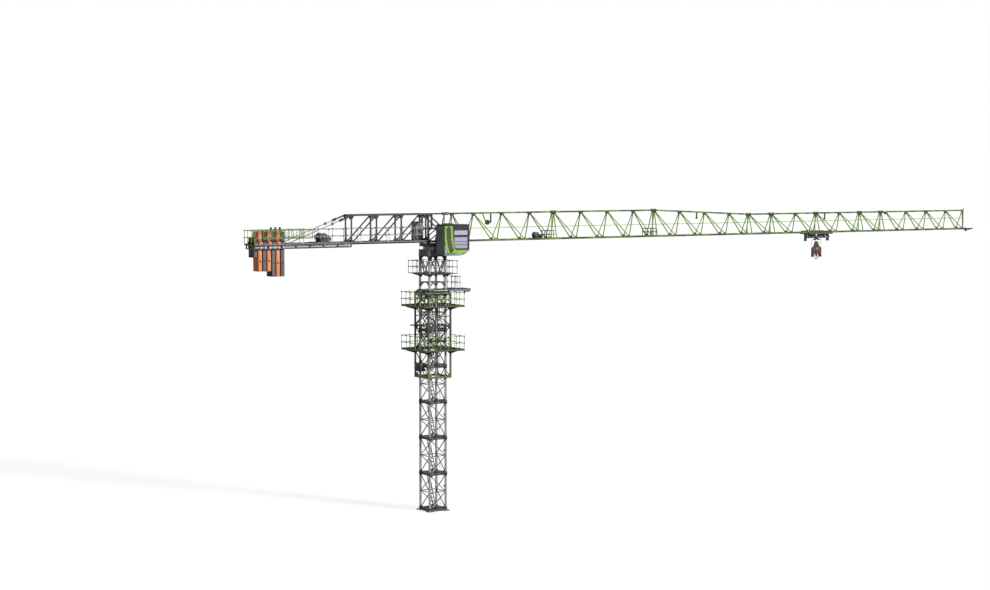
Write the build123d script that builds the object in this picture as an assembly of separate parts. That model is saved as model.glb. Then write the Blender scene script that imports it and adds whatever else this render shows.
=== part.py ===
from build123d import *
import math
import os

# Flat-top tower crane, a 1:2 scale model, in millimetres.
# The origin is on the ground, at the centre of the base frame's underside.
# The jib lies along +X, the counter-jib along -X, and +Z is up.

# Wheels, drums and rods are drawn with this many flats, small hubs with fewer, the slewing ring with more
round_flats = 12
hub_flats = 8
ring_flats = 24

# Base frame on the ground
base_height = 60
base_beam_width = 80
foot_plate_side = 240
foot_plate_thickness = 20
anchor_hole_radius = 13
anchor_hole_inset = 35

# Mast of equal square sections
mast_width = 720
mast_section_height = 1400
mast_section_count = 6
leg_size = 68
sleeve_size = 82
sleeve_height = 88
mast_rail_inset = 30
mast_joint_rail_size = 48
mast_rail_size = 28
mast_brace_size = 26
climbing_lug_drop = 490
climbing_lug_size = 50
climbing_lug_height = 90

# Ladders and rest platforms inside the mast
ladder_width = 200
ladder_top_x = -225
ladder_foot_x = 60
ladder_stile = 18
ladder_rung = 12
ladder_rung_count = 9
rest_platform_thickness = 12
rest_platform_edge_x = -20

# Climbing cage around the top of the mast
cage_width = 1000
cage_post_size = 60
cage_above_mast = 100
cage_height = 3350
cage_ring_size = 50
cage_brace_size = 28
cage_collar_height = 60
cage_collar_above = 190
cage_platform_width = 1820
cage_platform_thickness = 30
cage_upper_deck_drop = 550
cage_lower_deck_drop = 2250
cage_middle_ring_drop = 1290
cage_bottom_ring_height = 80
bracket_thickness = 24
bracket_height = 120
bracket_tip_height = 24
guide_roller_radius = 30
guide_roller_width = 40
guide_roller_arm = 20
running_gap = 0.3

# Railings
railing_height = 550
railing_bar_size = 18
railing_post_pitch = 940
railing_inset = 20
railing_panel_gap = 1

# Hydraulic climbing gear
cylinder_radius = 40
cylinder_length = 880
cylinder_gap = 4
cylinder_x = -100
rod_radius = 24
rod_reach = 240
climbing_beam_height = 90
climbing_beam_depth = 50
climbing_beam_section = 5
claw_width = 60
power_pack_length = 315
power_pack_depth = 200
power_pack_height = 320
power_pack_y = -160
power_pack_above_ring = 450
power_pack_rail = 24
pump_radius = 55
pump_height = 110

# Beams that feed new mast sections in beside the upper cage platform
feed_beam_reach = 1540
feed_beam_height = 90
feed_beam_width = 60
feed_beam_spacing = 560
feed_carriage_length = 100
feed_carriage_height = 40
feed_carriage_setback = 90
feed_hook_size = 50
feed_hook_drop = 80
feed_platform_near = 640
feed_platform_far = 1070
feed_platform_overhang = 20
feed_railing_height = 480

# Slewing support, the fixed top of the tower
support_leg_height = 1475
support_box_height = 265
support_width = 720
support_box_width = 800
support_platform_width = 1420
support_platform_drop = 695
support_knee_rail = 54
support_railing_height = 500
support_arch_rail = 470
support_arch_foot = 290
support_arch_size = 34
ladder_opening = 400
ring_outer_radius = 370
ring_inner_radius = 290
ring_half_height = 60
slew_gap = 0.5

# Turntable and tower head, which turn on the ring
turntable_width = 760
turntable_height = 120
slew_motor_radius = 48
slew_motor_height = 330
slew_motor_y = 326
head_post_size = 60
head_beam_size = 48
head_brace_size = 34
head_front_x = 340
head_back_x = -340

# Jib: one top chord and two bottom chords, in bolted sections
jib_root_x = 600
jib_section_lengths = [5000, 5000, 5000, 1250, 2500, 2500, 1250, 5400]
jib_width = 425
jib_root_height = 1070
jib_tip_height = 830
jib_taper_from = 2
top_chord_size = 66
bottom_chord_size = 60
jib_brace_size = 34
jib_cross_size = 28
jib_node_pitch = 1311
jib_first_node = 35
jib_steep_run = 350
jib_last_low_gap = 215
jib_end_inset = 50
track_width = 32
track_thickness = 12

# The first section starts with a short panel, and the tip section has its own pitch
root_node = 270
root_node_shift = -60
tip_node = 295
tip_node_pitch = 1213
tip_chord_setback = 400

# Jib level above the turntable's underside
jib_level_above_turntable = 190

# Trolley winch and rope guides in the jib
winch_plate_near = 4580
winch_plate_far = 5100
jib_plate_thickness = 14
trolley_winch_x = 4770
trolley_winch_radius = 85
trolley_winch_length = 150
trolley_winch_flange = 112
trolley_motor_radius = 55
trolley_motor_length = 150
guide_hanger_near = 2270
guide_hanger_far = 2670
guide_hanger_drop = 350
guide_hanger_size = 26
guide_pulley_radius = 62
guide_pulley_x = 2500
guide_pulley_width = 50
rope_hanger_xs = [12840, 19855]
rope_hanger_drop = 240
rope_hanger_size = 24
tip_post_size = 30
tip_post_above = 90
tip_pulley_x = 28300
tip_pulley_radius = 45
tip_bracket_length = 60
tip_bracket_thickness = 30

# Small platforms inside the jib, each between two places along it
jib_platforms_between = [(5135, 5592), (10110, 10670)]
jib_platform_width = 350
jib_platform_railing_y = 92
jib_platform_railing_height = 316

# Counter-jib truss and deck
counter_root_x = -450
counter_truss_width = 475
counter_panel = 1083
counter_panel_count = 3
counter_chord_size = 66
counter_post_size = 50
counter_brace_size = 44
counter_cross_size = 36
deck_end_x = -7840
deck_beam_width = 600
deck_beam_depth = 170
deck_chord_size = 40
deck_post_pitch = 600
walkway_width = 900
walkway_thickness = 20
tie_link_size = 56
tie_rod_size = 30
tie_bar_thickness = 28
tie_pin_radius = 14
tie_pin_setback = 30
tie_foot_x = -6400
tie_foot_length = 140
tie_foot_height = 60
tie_coupling_height = 96
tie_coupling_shares = [0.17, 0.31]
tie_coupling_lengths = [190, 90]

# Counterweights hung in the tail of the deck
slab_count = 6
slab_pitch = 184
slab_thickness = 164
slab_width = 430
slab_ear_width = 640
slab_ear_height = 110
slab_first_x = -7600
slab_top_above_beam = 480
short_slab_drop = 985
long_slab_drop = 1190
tail_slab_top = 250
tail_slab_drop = 470
lifting_lug_length = 110
short_slab_lug = 60
long_slab_lug = 165
lifting_lug_thickness = 30

# Open frames on the railings where a sign board would hang
sign_front_x = -5450
sign_length = 2050
sign_low = 215
sign_height = 330
sign_bar = 16
sign_rib_count = 6

# Electrical cabinet inside the first bay of the counter-jib
cabinet_x = -690
cabinet_length = 360
cabinet_width = 300
cabinet_height = 730
cabinet_shelf_overhang = 30

# Hoist winch on the counter-jib deck
winch_x = -4850
winch_drum_radius = 120
winch_drum_length = 400
winch_frame_length = 700
winch_frame_height = 60
winch_frame_beam = 60
winch_cheek_thickness = 30
winch_cheek_radius = 165
winch_foot_length = 260
hoist_motor_radius = 95
hoist_motor_length = 260
hoist_motor_x = 250

# Cab beside the head
cab_back_x = -185
cab_length = 1120
cab_inner_y = -590
cab_width = 615
cab_arm_size = 80
cab_height = 1150
cab_drop = 500
cab_wall = 18
cab_nose_length = 280
cab_nose_height = 180
pane_thickness = 8
window_front_gap = 70
window_low = 250
window_rail_low = 700
window_rail_high = 765
window_top_gap = 190
window_slant = 90
side_window_back = 430

# Trolley under the jib
trolley_x = 19400
trolley_length = 1640
trolley_wheel_base = 1300
trolley_wheel_radius = 42
trolley_wheel_width = 20
trolley_stub_radius = 14
trolley_side_gap = 5
trolley_plate_thickness = 14
trolley_plate_above_wheel = 55
trolley_frame_size = 50
trolley_hoop_size = 36
trolley_post_drop = 345
trolley_low_rail_drop = 165
trolley_sheave_drop = 115
trolley_bridge_x = 360
sheave_radius = 110
sheave_width = 40
sheave_groove = 16
sheave_hub_radius = 34
sheave_hub_width = 48
sheave_spacing = 300
plate_thickness = 12
rope_radius = 8

# Hook block: a narrow housing over two lobes, with the hook between them
block_top_drop = 355
block_housing_width = 274
block_housing_height = 230
block_shoulder_height = 40
block_lobe_width = 524
block_lobe_height = 425
block_leg_width = 105
block_leg_height = 165
block_leg_depth = 100
block_top_sheave_drop = 70
block_sheave_drop = 115
crosshead_width = 200
crosshead_depth = 130
crosshead_height = 85
crosshead_gap = 5
block_weight_width = 210
block_weight_height = 190
block_weight_thickness = 34
hook_shank_radius = 36
hook_shank_gap = 0.05
hook_shank_depth = 70
hook_neck = 40
hook_bowl_radius = 95
hook_eye_radius = 45
hook_eye_rise = 10
hook_width = 50
hook_mouth_height = 62

# Levels that follow from the sizes above
mast_bottom = base_height
mast_top = mast_bottom + mast_section_count * mast_section_height
support_box_bottom = mast_top + support_leg_height
ring_bottom = support_box_bottom + support_box_height
turntable_bottom = ring_bottom + 2 * ring_half_height + slew_gap
turntable_top = turntable_bottom + turntable_height
jib_level = turntable_bottom + jib_level_above_turntable
jib_top_level = jib_level + jib_root_height
deck_level = jib_level + bottom_chord_size / 2
cage_top = mast_top + cage_above_mast
cage_bottom = cage_top - cage_height
upper_deck_level = cage_top - cage_upper_deck_drop
lower_deck_level = cage_top - cage_lower_deck_drop
feed_beam_top = cage_top + feed_beam_height
support_knee_level = support_box_bottom - support_platform_drop
support_deck_level = support_knee_level + support_knee_rail / 2 + walkway_thickness


def bar(start, end, width, depth=None):
    """Straight bar of rectangular section, width across and depth upright."""
    start = Vector(start)
    along = Vector(end) - start
    across = along.cross(Vector(0, 0, 1))
    if across.length < 1e-6:
        across = Vector(1, 0, 0)
    plane = Plane(origin=start, x_dir=across, z_dir=along)
    return extrude(plane * Rectangle(width, depth or width), along.length)


def block(center, size):
    """Rectangular block about its centre."""
    return Pos(*center) * Box(*size)


def turned_to(axis):
    """Turn that lays something made along Z along one of the three axes."""
    return {"X": Rot(0, 90, 0), "Y": Rot(90, 0, 0), "Z": Rot(0, 0, 0)}[axis]


def drum(center, radius, length, axis):
    """Plain cylinder about its centre along one of the three axes."""
    return Pos(*center) * turned_to(axis) * Cylinder(radius, length)


def flats(radius, count):
    """Outline of a round thing with a few flats that touch its circle, square to the axes."""
    return RegularPolygon(radius, count, major_radius=False, rotation=180 / count)


def rod(center, radius, length, axis, count=round_flats):
    """Round bar, wheel or drum with a few flats, about its centre along one of the three axes."""
    return Pos(*center) * turned_to(axis) * Pos(0, 0, -length / 2) * extrude(flats(radius, count), length)


def plate(points, y, thickness):
    """Plate cut to an outline in the XZ plane, about its middle plane at y."""
    plane = Plane(origin=(0, y + thickness / 2, 0), x_dir=(1, 0, 0), z_dir=(0, -1, 0))
    return extrude(plane * make_face(Polyline(*points, close=True)), thickness)


def fused(pieces):
    """One solid from pieces that meet or cross."""
    return pieces[0].fuse(*pieces[1:])


def corners(width):
    """Corners of a square about the mast's axis, in order round it."""
    half = width / 2
    return [(-half, -half), (half, -half), (half, half), (-half, half)]


def sides(width):
    """Neighbouring pairs of the corners of a square."""
    points = corners(width)
    return [(points[i], points[(i + 1) % 4]) for i in range(4)]


def save(shape, name):
    """Write one node, from one solid or a list of separate solids."""
    if isinstance(shape, list):
        shape = Compound(shape)
    export_step(shape, f"parts/{name}.step")


def base_frame():
    """Square frame of beams with a diagonal cross, and a plate with an anchor hole under each leg."""
    outline = Rectangle(mast_width + base_beam_width, mast_width + base_beam_width)
    outline -= Rectangle(mast_width - base_beam_width, mast_width - base_beam_width)
    for turn in (45, -45):
        outline += Rot(0, 0, turn) * Rectangle(mast_width * math.sqrt(2), base_beam_width)
    feet = [Pos(x, y) * Rectangle(foot_plate_side, foot_plate_side) for x, y in corners(mast_width)]
    reach = (mast_width + foot_plate_side) / 2 - anchor_hole_inset
    holes = [drum((x, y, foot_plate_thickness / 2), anchor_hole_radius, 2 * foot_plate_thickness, "Z")
             for x, y in corners(2 * reach)]
    frame = fused([extrude(outline, base_height)] + [extrude(foot, foot_plate_thickness) for foot in feet])
    return frame - holes


def mast_section(bottom):
    """One mast section: legs with end sleeves, three rails a side, zigzag braces, two climbing lugs."""
    top = bottom + mast_section_height
    middle = (bottom + top) / 2
    low_rail = bottom + mast_rail_inset
    high_rail = top - mast_rail_inset
    pieces = []
    for x, y in corners(mast_width):
        pieces.append(bar((x, y, bottom), (x, y, top), leg_size))
        for level in (bottom + sleeve_height / 2, top - sleeve_height / 2):
            pieces.append(block((x, y, level), (sleeve_size, sleeve_size, sleeve_height)))
    lug_x = (mast_width - leg_size - climbing_lug_size) / 2
    lug_z = top - climbing_lug_drop
    for x in (-lug_x, lug_x):
        lug_size = (climbing_lug_size, climbing_lug_size, climbing_lug_height)
        pieces.append(block((x, -mast_width / 2, lug_z), lug_size))
    for a, b in sides(mast_width):
        pieces.append(bar((*a, low_rail), (*b, low_rail), mast_joint_rail_size))
        pieces.append(bar((*a, high_rail), (*b, high_rail), mast_joint_rail_size))
        pieces.append(bar((*a, middle), (*b, middle), mast_rail_size))
        pieces.append(bar((*a, high_rail), (*b, middle), mast_brace_size))
        pieces.append(bar((*b, middle), (*a, low_rail), mast_brace_size))
    return fused(pieces)


def mast_ladder(bottom):
    """Rest platform at the foot of one mast section and the inclined ladder that stands on it."""
    low = bottom + mast_rail_inset + mast_joint_rail_size / 2
    foot = low + rest_platform_thickness
    head = bottom + mast_section_height - mast_rail_inset
    right = (mast_width - sleeve_size) / 2
    length = right - rest_platform_edge_x
    half = ladder_stile / 2
    pieces = [block((right - length / 2, 0, low + rest_platform_thickness / 2),
                    (length, mast_width - sleeve_size, rest_platform_thickness))]
    stile = [(ladder_foot_x - half, foot), (ladder_foot_x + half, foot),
             (ladder_top_x + half, head), (ladder_top_x - half, head)]
    for y in (-ladder_width / 2, ladder_width / 2):
        pieces.append(plate(stile, y, ladder_stile))
    for i in range(ladder_rung_count):
        share = (i + 0.6) / ladder_rung_count
        x = ladder_foot_x + share * (ladder_top_x - ladder_foot_x)
        z = foot + share * (head - foot)
        pieces.append(bar((x, -ladder_width / 2, z), (x, ladder_width / 2, z), ladder_rung))
    return fused(pieces)


def railing(points, floor, height):
    """Posts with a top rail and a knee rail along a line of points."""
    pieces = []
    for a, b in zip(points, points[1:]):
        run = math.dist(a, b)
        bays = max(1, round(run / railing_post_pitch))
        for i in range(bays + 1):
            x = a[0] + (b[0] - a[0]) * i / bays
            y = a[1] + (b[1] - a[1]) * i / bays
            pieces.append(bar((x, y, floor), (x, y, floor + height), railing_bar_size))
        for share in (0.5, 1):
            z = floor + share * height - railing_bar_size / 2
            pieces.append(bar((*a, z), (*b, z), railing_bar_size))
    return fused(pieces)


def square_railing(width, floor, height):
    """Four flat railing panels round a square floor, with end posts side by side at the corners."""
    half = width / 2
    short = half - railing_bar_size - railing_panel_gap
    panels = [railing([(-half, y), (half, y)], floor, height) for y in (-half, half)]
    return panels + [railing([(x, -short), (x, short)], floor, height) for x in (-half, half)]


def ring_deck(width, opening, level, thickness):
    """Square floor round a square opening, with its top face at the level given."""
    outline = Rectangle(width, width) - Rectangle(opening, opening)
    return Pos(0, 0, level - thickness) * extrude(outline, thickness)


def cage_deck(level):
    """Cage platform: floor on triangular brackets from the cage posts."""
    opening = cage_width + cage_post_size
    under = level - cage_platform_thickness
    reach = (cage_platform_width - opening) / 2 - railing_inset
    outline = [(0, under), (reach, under), (reach, under - bracket_tip_height), (0, under - bracket_height)]
    bracket = plate(outline, 0, bracket_thickness)
    pieces = [ring_deck(cage_platform_width, opening, level, cage_platform_thickness)]
    for x, y in corners(cage_width):
        outward = 0 if x > 0 else 180
        pieces.append(Pos(x + math.copysign(cage_post_size / 2, x), y, 0) * Rot(0, 0, outward) * bracket)
        outward = 90 if y > 0 else -90
        pieces.append(Pos(x, y + math.copysign(cage_post_size / 2, y), 0) * Rot(0, 0, outward) * bracket)
    return fused(pieces)


def climbing_cage():
    """Cage of four posts with rings and cross bracing, and a collar round the slewing support."""
    middle = cage_top - cage_middle_ring_drop
    levels = [cage_bottom, lower_deck_level, middle, upper_deck_level, cage_top]
    pieces = []
    for x, y in corners(cage_width):
        pieces.append(bar((x, y, cage_bottom), (x, y, cage_top), cage_post_size))
    for a, b in sides(cage_width):
        for i, level in enumerate(levels):
            depth = cage_bottom_ring_height if i == 0 else cage_ring_size
            z = level + depth / 2 if i == 0 else level - depth / 2
            pieces.append(bar((*a, z), (*b, z), cage_ring_size, depth))
    for a, b in sides(cage_width)[:1] + sides(cage_width)[2:]:
        foot = cage_bottom + cage_bottom_ring_height
        pieces.append(bar((*a, lower_deck_level - cage_ring_size), (*b, foot), cage_brace_size))
        for low, high in zip(levels[1:], levels[2:]):
            pieces.append(bar((*a, low), (*b, high - cage_ring_size), cage_brace_size))
            pieces.append(bar((*b, low), (*a, high - cage_ring_size), cage_brace_size))
    collar_top = mast_top + cage_collar_above
    collar_opening = mast_width + leg_size
    collar_width = collar_opening + 2 * cage_ring_size
    pieces.append(ring_deck(collar_width, collar_opening, collar_top, cage_collar_height))
    collar_corner = (collar_opening + cage_ring_size) / 2
    for x, y in corners(cage_width):
        end = (math.copysign(collar_corner, x), math.copysign(collar_corner, y))
        strut_top = (*end, collar_top - cage_collar_height / 2)
        pieces.append(bar((x, y, cage_top - cage_ring_size), strut_top, cage_ring_size))
    return fused(pieces)


def guide_rollers():
    """Rollers on arms from the cage rings, running on the mast legs."""
    rollers = []
    leg_face = (mast_width + leg_size) / 2
    ring_face = (cage_width - cage_ring_size) / 2
    center = leg_face + running_gap + guide_roller_radius
    arm_length = ring_face - center
    for level in (lower_deck_level - cage_ring_size / 2, upper_deck_level - cage_ring_size / 2):
        for x in (-mast_width / 2, mast_width / 2):
            for side in (-1, 1):
                spot = (x, side * center, level)
                wheel = rod(spot, guide_roller_radius, guide_roller_width, "X", hub_flats)
                arm = block((x, side * (center + arm_length / 2), level),
                            (guide_roller_arm, arm_length, guide_roller_arm))
                rollers.append(fused([wheel, arm]))
    return rollers


def climbing_cylinder():
    """Hydraulic cylinder hung from a cage ring, with its rod down to a beam on the mast's lugs."""
    y = -(mast_width + mast_joint_rail_size) / 2 - cylinder_gap - cylinder_radius
    section_top = mast_bottom + climbing_beam_section * mast_section_height
    lug_top = section_top - climbing_lug_drop + climbing_lug_height / 2
    beam_z = lug_top + climbing_beam_height / 2
    pieces = [block((0, y, beam_z), (mast_width, climbing_beam_depth, climbing_beam_height))]
    lug_x = (mast_width - leg_size - climbing_lug_size) / 2
    claw_depth = abs(y) - mast_width / 2
    claw_z = lug_top + claw_width / 2
    for x in (-lug_x, lug_x):
        pieces.append(block((x, y + claw_depth / 2, claw_z), (climbing_lug_size, claw_depth, claw_width)))
    barrel_low = beam_z + rod_reach
    pieces.append(rod((cylinder_x, y, beam_z + rod_reach / 2), rod_radius, rod_reach, "Z"))
    barrel_z = barrel_low + cylinder_length / 2
    pieces.append(rod((cylinder_x, y, barrel_z), cylinder_radius, cylinder_length, "Z"))
    hanger_low = barrel_low + cylinder_length - cage_ring_size
    ring_face = -(cage_width - cage_ring_size) / 2
    hanger = block((cylinder_x, (ring_face + y) / 2, (hanger_low + upper_deck_level) / 2),
                   (cylinder_radius, abs(ring_face - y), upper_deck_level - hanger_low))
    pieces.append(hanger)
    return fused(pieces)


def power_pack():
    """Oil tank and pump motor on two rails across the outside of the cage posts."""
    post_face = (cage_width + cage_post_size) / 2
    rail_x = -post_face - power_pack_rail / 2
    x = -post_face - power_pack_rail - power_pack_depth / 2
    z = cage_bottom + power_pack_above_ring
    pieces = [block((x, power_pack_y, z), (power_pack_depth, power_pack_length, power_pack_height))]
    for level in (z - power_pack_height / 4, z + power_pack_height / 4):
        pieces.append(bar((rail_x, -post_face, level), (rail_x, post_face, level), power_pack_rail))
    top = z + power_pack_height / 2
    pieces.append(rod((x, power_pack_y, top + pump_height / 2), pump_radius, pump_height, "Z"))
    return fused(pieces)


def feed_beams():
    """Two rails from the collar, on the cage's top ring, with a carriage and its small hook."""
    z = feed_beam_top - feed_beam_height / 2
    back = (mast_width + leg_size) / 2 + cage_ring_size
    half = feed_beam_spacing / 2
    pieces = []
    for y in (-half, half):
        pieces.append(bar((back, y, z), (feed_beam_reach, y, z), feed_beam_width, feed_beam_height))
    for x in (back + feed_beam_width / 2, feed_beam_reach - feed_beam_width / 2):
        pieces.append(bar((x, -half, z), (x, half, z), feed_beam_width, feed_beam_height))
    carriage_x = feed_beam_reach - feed_carriage_setback
    carriage_top = feed_beam_top - feed_beam_height
    pieces.append(block((carriage_x, 0, carriage_top - feed_carriage_height / 2),
                        (feed_carriage_length, feed_beam_spacing + feed_beam_width, feed_carriage_height)))
    pieces.append(block((carriage_x, 0, carriage_top - feed_carriage_height - feed_hook_drop / 2),
                        (feed_hook_size, feed_hook_size, feed_hook_drop)))
    return fused(pieces)


def feed_platform():
    """Small platform on the feed beams with a railing on its three open sides."""
    half = (feed_beam_spacing + feed_beam_width) / 2 + feed_platform_overhang
    length = feed_platform_far - feed_platform_near
    middle = (feed_platform_far + feed_platform_near) / 2
    deck_top = feed_beam_top + walkway_thickness
    deck = block((middle, 0, feed_beam_top + walkway_thickness / 2), (length, 2 * half, walkway_thickness))
    near = feed_platform_near + railing_inset
    far = feed_platform_far - railing_inset
    y = half - railing_inset
    return fused([deck, railing([(near, -y), (far, -y), (far, y), (near, y)], deck_top, feed_railing_height)])


def slewing_support():
    """Fixed top of the tower: legs, bracing and the box that carries the ring."""
    pieces = []
    knee = support_knee_level
    low_rail = mast_top + mast_rail_inset
    arch_rail = mast_top + support_arch_rail
    into_box = leg_size / 2
    for x, y in corners(support_width):
        pieces.append(bar((x, y, mast_top), (x, y, support_box_bottom + into_box), leg_size))
        pieces.append(block((x, y, mast_top + sleeve_height / 2), (sleeve_size, sleeve_size, sleeve_height)))
    for a, b in sides(support_width):
        pieces.append(bar((*a, low_rail), (*b, low_rail), mast_joint_rail_size))
        pieces.append(bar((*a, knee), (*b, knee), support_knee_rail))
        middle = ((a[0] + b[0]) / 2, (a[1] + b[1]) / 2)
        pieces.append(bar((*middle, knee), (*a, support_box_bottom), head_brace_size))
        pieces.append(bar((*middle, knee), (*b, support_box_bottom), head_brace_size))
        pieces.append(bar((*a, arch_rail), (*b, arch_rail), support_arch_size))
        for corner, other in ((a, b), (b, a)):
            foot = (*corner, mast_top + support_arch_foot)
            quarter = ((3 * corner[0] + other[0]) / 4, (3 * corner[1] + other[1]) / 4)
            pieces.append(bar(foot, (*quarter, arch_rail), support_arch_size))
    pieces.append(ring_deck(support_box_width, ladder_opening, ring_bottom, support_box_height))
    return fused(pieces)


def ring(bottom):
    """One half of the slewing ring."""
    outline = flats(ring_outer_radius, ring_flats) - flats(ring_inner_radius, ring_flats)
    return Pos(0, 0, bottom) * extrude(outline, ring_half_height)


def support_platform():
    """Platform round the slewing support, on its middle rails."""
    return ring_deck(support_platform_width, support_width + leg_size, support_deck_level, walkway_thickness)


def turntable():
    """Welded box on the ring, open in the middle, with two slewing motors and the cab's arms."""
    pieces = [ring_deck(turntable_width, ladder_opening, turntable_top, turntable_height)]
    motor_z = turntable_top + slew_motor_height / 2
    for y in (-slew_motor_y, slew_motor_y):
        pieces.append(rod((0, y, motor_z), slew_motor_radius, slew_motor_height, "Z"))
    near = -turntable_width / 2
    middle = (near + cab_inner_y) / 2
    length = near - cab_inner_y
    arm_z = turntable_bottom + cab_arm_size / 2
    for x in (cab_back_x + cab_arm_size, turntable_width / 2 - cab_arm_size):
        pieces.append(block((x, middle, arm_z), (cab_arm_size, length, cab_arm_size)))
    front = turntable_width / 2
    step_z = turntable_bottom + cab_arm_size + walkway_thickness / 2
    step_size = (front - cab_back_x, length, walkway_thickness)
    pieces.append(block(((cab_back_x + front) / 2, middle, step_z), step_size))
    return fused(pieces)


def tower_head():
    """Head frame: four posts, side beams to the jib and counter-jib, and cross bracing."""
    half = counter_truss_width / 2
    back_end = counter_root_x + counter_chord_size / 2
    middle = (turntable_top + jib_top_level) / 2
    pieces = []
    for y in (-half, half):
        for x in (head_back_x, head_front_x):
            pieces.append(bar((x, y, turntable_top), (x, y, jib_top_level), head_post_size))
        pieces.append(bar((back_end, y, jib_level), (head_front_x, y, jib_level), bottom_chord_size))
        pieces.append(bar((back_end, y, jib_top_level), (head_front_x, y, jib_top_level), head_beam_size))
        pieces.append(bar((head_back_x, y, middle), (head_front_x, y, middle), head_beam_size))
        pieces.append(bar((head_back_x, y, jib_level), (head_front_x, y, middle), head_brace_size))
        pieces.append(bar((head_front_x, y, middle), (head_back_x, y, jib_top_level), head_brace_size))
        top_end = (jib_root_x - top_chord_size, 0, jib_top_level)
        pieces.append(bar((head_front_x, y, jib_top_level), top_end, head_beam_size))
        foot = math.copysign(jib_width / 2, y)
        pieces.append(bar((head_front_x, foot, jib_level), (jib_root_x, foot, jib_level), bottom_chord_size))
        pieces.append(bar((head_front_x + head_post_size, foot, jib_level), top_end, head_brace_size))
    for x in (head_back_x, head_front_x):
        for z in (jib_level, middle, jib_top_level):
            pieces.append(bar((x, -half, z), (x, half, z), head_beam_size))
    top_start = (jib_root_x - 2 * top_chord_size, 0, jib_top_level)
    pieces.append(bar(top_start, (jib_root_x, 0, jib_top_level), top_chord_size))
    return fused(pieces)


def jib_height_at(x):
    """Height of the top chord over the bottom chords: full to the taper, then lower to the tip."""
    start = jib_root_x + sum(jib_section_lengths[:jib_taper_from])
    end = start + jib_section_lengths[jib_taper_from]
    share = min(1, max(0, (x - start) / (end - start)))
    return jib_root_height + share * (jib_tip_height - jib_root_height)


def top_chord(x_low, x_high):
    """Stretch of the jib's top chord with upright ends, level or sloping."""
    half = top_chord_size / 2
    z_low = jib_level + jib_height_at(x_low)
    z_high = jib_level + jib_height_at(x_high)
    points = [(x_low, z_low - half), (x_high, z_high - half), (x_high, z_high + half), (x_low, z_low + half)]
    return plate(points, 0, top_chord_size)


def bottom_chord(start, end, side):
    """Bottom chord with the trolley's track along its outer foot; side is -1 or 1."""
    half = bottom_chord_size / 2
    middle = jib_width / 2
    outer = middle + half + track_width
    step = track_thickness - half
    points = [(middle - half, -half), (outer, -half), (outer, step), (middle + half, step),
              (middle + half, half), (middle - half, half)]
    outline = make_face(Polyline(*[(side * y, z) for y, z in points], close=True))
    plane = Plane(origin=(start, 0, jib_level), x_dir=(0, 1, 0), z_dir=(1, 0, 0))
    return extrude(plane * outline, end - start)


def top_nodes(index, start, end):
    """Places along one jib section where braces meet the top chord, without the one at its end."""
    if index == 0:
        panels = round((end - start) / jib_node_pitch)
        return [start + root_node] + [start + root_node_shift + k * jib_node_pitch for k in range(1, panels)]
    if index == len(jib_section_lengths) - 1:
        panels = round((end - tip_chord_setback - start) / tip_node_pitch)
        return [start + tip_node + k * tip_node_pitch for k in range(panels)]
    panels = round((end - start) / jib_node_pitch)
    return [start + jib_first_node + k * jib_node_pitch for k in range(panels)]


def jib_section(index):
    """One jib section: three chords with tracks, zigzag sides and a braced bottom."""
    start = jib_root_x + sum(jib_section_lengths[:index])
    end = start + jib_section_lengths[index]
    last = index == len(jib_section_lengths) - 1
    half = jib_width / 2
    top_end = end - tip_chord_setback if last else end

    def top(x):
        return (x, 0, jib_level + jib_height_at(x))

    highs = top_nodes(index, start, end)
    frame_top = start + jib_first_node if index else highs[0]
    lows = [x - jib_steep_run for x in highs[1:]] + [top_end - jib_last_low_gap]
    highs = highs + [top_end - jib_end_inset]
    cross = [start + jib_end_inset] + lows
    pieces = [top_chord(start, top_end)]
    for side in (-half, half):
        pieces.append(bottom_chord(start, end, math.copysign(1, side)))
        pieces.append(bar(top(frame_top), (start + jib_end_inset, side, jib_level), jib_brace_size))
        for k, x in enumerate(lows):
            pieces.append(bar(top(highs[k]), (x, side, jib_level), jib_brace_size))
            pieces.append(bar((x, side, jib_level), top(highs[k + 1]), jib_brace_size))
    for x in cross:
        pieces.append(bar((x, -half, jib_level), (x, half, jib_level), jib_brace_size))
    for k, (a, b) in enumerate(zip(cross, cross[1:])):
        side = half if k % 2 else -half
        pieces.append(bar((a, side, jib_level), (b, -side, jib_level), jib_cross_size))
    if last:
        post_x = top_end + tip_post_size / 2
        for x in (post_x, end - jib_end_inset):
            pieces.append(bar((x, -half, jib_level), (x, half, jib_level), jib_brace_size))
    return fused(pieces)


def trolley_winch():
    """Winch that pulls the trolley: drum with two flanges and a motor on a plate over the chords."""
    low = deck_level
    width = jib_width + bottom_chord_size / 2
    plate_x = (winch_plate_near + winch_plate_far) / 2
    pieces = [block((plate_x, 0, low + jib_plate_thickness / 2),
                    (winch_plate_far - winch_plate_near, width, jib_plate_thickness))]
    floor = low + jib_plate_thickness
    z = floor + trolley_winch_flange
    half = trolley_winch_length / 2
    pieces.append(rod((trolley_winch_x, 0, z), trolley_winch_radius, trolley_winch_length, "Y"))
    for y in (-half, half):
        pieces.append(rod((trolley_winch_x, y, z), trolley_winch_flange, plate_thickness, "Y"))
        foot_size = (trolley_winch_radius, plate_thickness, z - floor)
        pieces.append(block((trolley_winch_x, y, (floor + z) / 2), foot_size))
    motor_x = trolley_winch_x + trolley_winch_flange + trolley_motor_length / 2
    motor_z = floor + trolley_motor_radius
    pieces.append(rod((motor_x, 0, motor_z), trolley_motor_radius, trolley_motor_length, "X"))
    return fused(pieces)


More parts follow.
